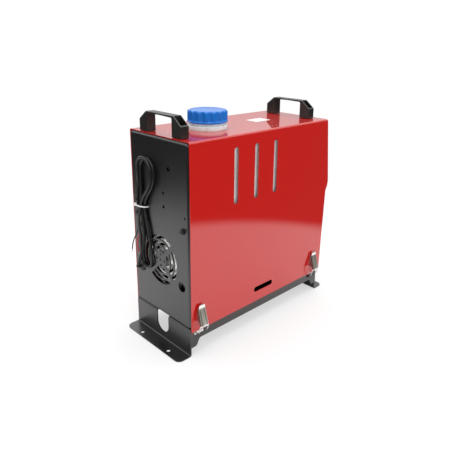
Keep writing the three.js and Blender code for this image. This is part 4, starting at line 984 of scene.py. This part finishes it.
cap_rows = np.stack([NECK_X + cap_radius * np.cos(turn), cap_radius * np.sin(turn),
                     np.broadcast_to(cap_profile[:, 2:], cap_radius.shape)], axis=-1)
cap = surface("screw_cap", cap_rows * MM, round_columns=True)
CAP_BLUE = finish("cap_blue", (0.0, 0.165, 0.62), 0.3, grain=0.9, mottle=0.06, bump=0.1, Coat_Weight=0.15,
                  Coat_Roughness=0.2)
dress(cap, CAP_BLUE, "filler_cap", "blue_plastic", "fuel_cap", smooth=50)
seal_profile = [(22, 386.35), (22, 388.05), (22.3, 388.1), (29.1, 388.1), (29.4, 388.05), (29.4, 386.35),
                (29.1, 386.3), (22.3, 386.3), (22, 386.35)]
seal = lathe("rubber_seal", seal_profile, "z", 0, NECK_X, 0)
dress(seal, RUBBER, "cap_seal_ring", "black_rubber", "cap_seal")

# ---------------------------------------------------------------- draw latches
# Zinc-plated toggle latches: a base riveted to the cover, a channel-shaped lever on a cross pin and a
# wire bail that hooks into the base frame's window. Y runs out of the cover here.
BRIGHT = finish("bright_steel_wire", (0.74, 0.74, 0.72), 0.2, grain=0.4, mottle=0.08, bump=0.1, Metallic=1.0)
LATCH_STEEL = finish("latch_steel", (0.55, 0.53, 0.46), 0.3, grain=0.5, mottle=0.12, bump=0.15, Metallic=1.0)
PIN_AT, BAIL_AT, HOOK_AT = (8.5, 62), (10.6, 57), (-2.8, 42.4)
BAIL_HALF, WIRE_RADIUS = 8.7, 0.9


def paint_highlight_and_shade(material, painted_highlight_colour, painted_shade_colour):
    """Paints light and shade into a finish from an attribute of the mesh: towards a painted highlight colour
    where it is 1, and towards a painted shade colour where it is -1.
    """
    tree = material.node_tree
    shader = tree.nodes["Principled BSDF"]
    plain = shader.inputs["Base Color"].links[0].from_socket
    painted_light = add_node(tree, "Attribute", attribute_name="painted_light")
    below = add_node(tree, "Math", {1: -1}, operation="MULTIPLY")
    shaded, highlit = [add_node(tree, "Mix", {"B": (*shade, 1)}, data_type="RGBA") for shade in (painted_shade_colour, painted_highlight_colour)]
    link_nodes(
        tree,
        (painted_light.outputs["Fac"], below.inputs[0]),
        (below.outputs[0], shaded.inputs["Factor"]),
        (plain, shaded.inputs["A"]),
        (painted_light.outputs["Fac"], highlit.inputs["Factor"]),
        (shaded.outputs["Result"], highlit.inputs["A"]),
        (highlit.outputs["Result"], shader.inputs["Base Color"]),
    )


# The latch levers get a painted highlight on their tab, lower lip and one flank, and painted shade in their
# grooves and on the other flank.
paint_highlight_and_shade(LATCH_STEEL, (1.0, 1.0, 0.98), (0.12, 0.1, 0.08))


def place_latch(obj, x, side):
    """Puts a piece made about its own latch onto the cover: side 1 faces +Y, and side -1 is half a turn."""
    half_turn, place = np.array([side, side, 1]), np.array([x, side * COVER_HALF, 0]) * MM
    return move_points(obj, lambda points: points * half_turn + place)


def lever_mesh(name):
    """A channel: its section runs up one flank, over a ribbed face and down the other flank, and is carried
    up the lever. The flanks are deepest at the pin, and the face ends in a finger tab."""
    height = np.array([56.0, 56.3, 57, 58.2, 60, 62, 66, 72, 78, 83, 85.5, 86.6, 87.4, 88.3, 89.6, 91, 92.2,
                       93])
    face_y = np.interp(height, [56.0, 56.3, 57, 58.2, 60, 86, 86.6, 87.4, 88.3, 89.6, 91, 93],
                       [12.4, 13.0, 13.6, 13.7, 13.0, 4.6, 4.5, 4.8, 5.0, 5.0, 5.0, 4.4])
    depth = np.interp(height, [56.2, 58, 62, 66, 78, 85.5, 86.6, 93],
                      [2.6, 4.4, 5.4, 4.6, 1.8, 0.9, 0.35, 0.1])
    half = np.interp(height, [56.2, 85.5, 87, 90.6, 92.2, 93], [7.35, 7.35, 6.4, 6.4, 5.4, 3.6])
    across = np.array([-1, -1, -1, -0.96, -0.86, -0.66, -0.58, -0.46, -0.38, 0.38, 0.46, 0.58, 0.66, 0.86,
                       0.96, 1, 1, 1])
    drop = np.array([1, 0.5, 0.14, 0.04, 0, 0, 0, 0, 0, 0, 0, 0, 0, 0, 0.04, 0.14, 0.5, 1])
    rib = np.array([0, 0, 0, 0, 0, -0.9, -0.9, 0.3, 0.3, 0.3, 0.3, -0.9, -0.9, 0, 0, 0, 0, 0])
    rib_height = np.interp(height, [59, 61, 82, 85], [0, 1, 1, 0])
    rows = np.empty((len(height), len(across), 3))
    rows[..., 0] = half[:, None] * across[None]
    rows[..., 1] = face_y[:, None] - depth[:, None] * drop[None] + rib_height[:, None] * rib[None]
    rows[..., 2] = height[:, None] - 0.25 * depth[:, None] * drop[None]
    obj = surface(name, rows * MM, round_rows=False, caps=False)
    # Painted light on the lever: 1 paints a highlight on the lower lip, the finger tab and one flank, and -1
    # paints shade in the two grooves and on the other flank.
    highlit_ends = np.interp(height, [56, 58.4, 59.4, 86.2, 87], [1, 1, 0, 0, 1])[:, None] * np.ones(len(across))
    lit_and_shaded_strips = np.array([1, 1, 1, 0.9, 0.1, -0.9, -0.9, 0, 0, 0, 0, -0.9, -0.9, 0, -0.2, -0.8, -0.9, -0.9])
    painted_light = np.where(highlit_ends > 0.5, 1.0, lit_and_shaded_strips[None])
    obj.data.attributes.new("painted_light", "FLOAT", "POINT").data.foreach_set("value", painted_light.ravel())
    thick = obj.modifiers.new("sheet", "SOLIDIFY")
    thick.thickness = 1.0 * MM
    thick.offset = -1
    thick.use_even_offset = True
    return obj


for number, x, side in ((1, -150, -1), (2, 150, -1), (3, -150, 1), (4, 150, 1)):
    lever = lever_mesh(f"lever_of_latch_{number}")
    bake(lever)
    dress(place_latch(lever, x, side), LATCH_STEEL, f"latch_{number}_lever_body", "zinc_steel",
          f"latch_{number}_lever", smooth=50)

    ear = corner_arcs([(0.6, 63.2, 0.4), (7.2, 60.6, 1.0), (10.2, 60.8, 1.1), (10.0, 64, 1.1), (2.2, 77, 1),
                       (0.6, 80, 0.4)], steps=5)
    plate = rounded_box("base_plate", (-5.6, 5.6), (0.3, 1.5), (64, 84), plane="xz", corner=1.6, edge=0.2)
    parts = [block("ear", ear, "yz", low, low + 1.0, edge=0.15, steps=3) for low in (-5.6, 4.6)]
    parts.append(pin("hinge_pin", "x", 1.1, -7.7, 7.7, *PIN_AT, 20, edge=0.2))
    parts.append(lathe("rivet", [(0, 1.2), (2.3, 1.2), (2.2, 1.9), (1.4, 2.5), (0, 2.7)], "y", 0, 0, 79))
    combine(plate, parts, "UNION")
    dress(place_latch(soften(plate, 0.1), x, side), ZINC, "frame", "zinc_steel", f"latch_{number}_base")
    plate.name = f"riveted_base_of_latch_{number}"

    side_run = [(10.4, 56.4), (9.6, 52.8), (8.4, 48), (6.6, 45), (4.6, 43.2), (2.4, 42.5), (-1.2, 42.4)]
    half_wire = [(5.9, *BAIL_AT), (7.4, *BAIL_AT), *[(BAIL_HALF, *point) for point in side_run],
                 (BAIL_HALF - 0.5, -2.4, 42.4), (BAIL_HALF - 1.7, *HOOK_AT)]
    wire_route = np.array([(-across, *point) for across, *point in half_wire] + half_wire[::-1])
    wire_path, _ = smooth_route(wire_route * MM, 150)
    bail = round_tube(f"wire_bail_of_latch_{number}", wire_path, WIRE_RADIUS * MM, 12)
    dress(place_latch(bail, x, side), BRIGHT, f"latch_{number}_bail_body", "bright_steel",
          f"latch_{number}_bail", smooth=60)

# ---------------------------------------------------------------- display and its buttons
# A moulded bezel on the leaning face holds a dark window over a screen, and four rubber keys that
# press onto switches on the board behind.
BEZEL = (52, 32)
bezel = rounded_box("display_bezel", (0.3, 4.3), (-BEZEL[0], BEZEL[0]), (-BEZEL[1], BEZEL[1]), plane="yz",
                    corner=6, edge=1.2)
bezel_body = rounded_box("display_body", (-16, 1), (-46, 46), (-27, 27), plane="yz", corner=2, edge=0.3)
combine(bezel, [bezel_body], "UNION")
BUTTONS = {"button_power": -33, "button_up": -11, "button_down": 11, "button_ok": 33}
BUTTON_R, BUTTON_Z, BUTTON_PROUD = 4.5, -16, 5.6
display_cuts = [rounded_box("board_space", (-18, 0.8), (-44, 44), (-25, 25), plane="yz", corner=1),
                rounded_box("window_recess", (2.2, 6), (-32, 32), (-3, 25), plane="yz", corner=1)]
display_cuts += [pin("key_hole", "x", BUTTON_R + 0.4, -1, 6, y, BUTTON_Z, 32) for y in BUTTONS.values()]
combine(bezel, [joined("display_cuts", display_cuts)], "DIFFERENCE")
dress(on_display(soften(bezel, 0.25)), MOULDED, "frame", "black_plastic", "display_housing")
window = rounded_box("display_window_pane", (2.5, 3.7), (-31.6, 31.6), (-2.6, 24.6), plane="yz", corner=0.8,
                     edge=0.3)
DARK_PANE = finish("dark_display_pane", (0.012, 0.02, 0.018), 0.08, grain=3, mottle=0.05, change=0.02,
                   bump=0.02, Coat_Weight=0.6, Coat_Roughness=0.02)
dress(on_display(window), DARK_PANE, "frame", "dark_window", "display_window")
KEY_RUBBER = finish("key_rubber", (0.05, 0.05, 0.052), 0.55, grain=0.6, mottle=0.15, bump=0.3, depth=0.03)
for node, y in BUTTONS.items():
    key_profile = [(0, -6.6), (BUTTON_R, -6.6), (BUTTON_R, 4.4), (4.3, 5.0), (3.7, 5.45),
                   (2.6, BUTTON_PROUD), (1.6, 5.35), (0, 5.25)]
    key = lathe("rubber_" + node, key_profile, "x", 0, y, BUTTON_Z, 40)
    dress(on_display(key), KEY_RUBBER, node + "_key", "black_rubber", node)

# ---------------------------------------------------------------- hot-air outlet
# A flanged plastic ring clips into the cover in front of the duct, and a louvre turns in it to aim the
# air.
ring_profile = [(40.6, -11), (43, -11), (43, 0.3), (48.6, 0.3), (49, 0.8), (48.8, 1.8), (47.6, 3.1),
                (46.4, 3.6), (41.4, 3.6), (40.6, 2.8), (40.6, -11)]
ring = lathe("outlet_ring_moulding", ring_profile, "x", 0, 0, 0, 96)
dress(on_outlet(ring), MOULDED, "frame", "black_plastic", "outlet_ring")
rim = lathe("louvre_rim", [(37, -9), (39.9, -9), (39.9, 0), (39.4, 0.5), (37.4, 0.5), (37, 0.1), (37, -9)],
            "x", 0, 0, 0, 96)
hub = lathe("louvre_hub", [(0, -9), (7, -9), (7, 1.2), (6.4, 1.9), (5, 2.2), (0, 1.7)], "x", 0, 0, 0, 48)
SLAT_TILT = 0.55
SLAT_REACH = 38  # how far out the slats' ends come, just inside the rim
slats = []
for z in (-22, 0, 22):
    reach = math.sqrt(SLAT_REACH**2 - (abs(z) + 3.2) ** 2)
    slat = rounded_box("slat", (-6, 6), (-reach, reach), (-0.8, 0.8), corner=0.5, edge=0.5)
    slats.append(onto_face(slat, -4.5, z, SLAT_TILT))
combine(rim, [hub, *slats], "UNION")
rim.name = "turning_louvre"
dress(on_outlet(rim), MOULDED, "louvre", "black_plastic", "outlet_louvre")

# ---------------------------------------------------------------- intake guard
# A polished stamped disc on the burner's end, seen through the panel's grille. Rings are pressed into
# it and curved slots are punched between them.
GUARD_X, GUARD_R, GUARD_SHEET, GUARD_CROWN = -150.3, 58, 1.5, 8
RIPPLE_START, RIPPLE_PITCH, RIPPLE_HEIGHT = 10, 12, 2
radii = np.linspace(0, GUARD_R, 70)
ripple = RIPPLE_HEIGHT * np.abs(np.sin(math.pi * (radii - RIPPLE_START) / RIPPLE_PITCH)) ** 1.5
ripple *= radii > RIPPLE_START
crown = GUARD_CROWN * np.sqrt(1 - (radii / GUARD_R) ** 2) + ripple
front_skin = np.column_stack([radii, -GUARD_SHEET - crown])
back_skin = np.column_stack([radii, -crown])[::-1]
guard = lathe("stamped_guard", np.vstack([front_skin, back_skin]), "x", GUARD_X, 0, CORE_Z, 96)
guard_slots = []
for inner, outer in ((45.5, 50.5), (33.5, 38.5), (21.5, 26.5)):
    for third in range(3):
        sweep = np.linspace(0, 2 * math.pi / 3 - 0.32, 15) + third * 2 * math.pi / 3 + 0.4
        guard_slots.append(arc_slot("punched_slot", inner, outer, sweep, GUARD_X - 14, GUARD_X + 2))
combine(guard, [joined("guard_slots", guard_slots)], "DIFFERENCE")
POLISHED = finish("polished_guard_steel", (0.9, 0.9, 0.88), 0.25, grain=0.5, mottle=0.05, Metallic=0.5)
dress(guard, POLISHED, "frame", "bright_steel", "intake_guard")

# ---------------------------------------------------------------- inside the cover
# The burner, blower, pump and lines keep their CAD shapes, in the finishes of the real pieces: cast
# aluminium, glass-filled nylon, plated steel, rubber and clear amber plastic.
CAST = finish("cast_aluminium", (0.5, 0.5, 0.5), 0.5, grain=0.7, mottle=0.2, bump=0.5, depth=0.08, Metallic=1.0)
GLASS_NYLON = finish("glass_filled_nylon", (0.02, 0.02, 0.021), 0.55, grain=0.5, mottle=0.3, bump=0.3, depth=0.04)
AMBER = finish("amber_filter_plastic", (0.66, 0.52, 0.26), 0.2, grain=2, mottle=0.1)
BOARD = finish("green_circuit_board", (0.012, 0.1, 0.04), 0.35, grain=1.4, mottle=0.4)
INSIDE = {
    SATIN_BLACK: ("front_panel", "tank_tray"),
    CAST: ("heat_exchanger", "motor_plate", "combustion_impeller", "outlet_duct"),
    GLASS_NYLON: ("upper_casing", "lower_casing", "hot_air_impeller", "air_stub", "control_module",
                  "fuel_line"),
    ZINC: ("blower_motor", "core_stand", "exhaust_stub", "fuel_pump"),
    BRIGHT: ("rotor_shaft", "burner_tube", "glow_plug"),
    RUBBER: ("pump_bracket", "tank_hose", "pump_hose"),
    AMBER: ("fuel_filter",),
    BOARD: ("control_board",),
}
for material, names in INSIDE.items():
    for name in names:
        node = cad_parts[name]
        node.data.materials.clear()
        node.data.materials.append(material)
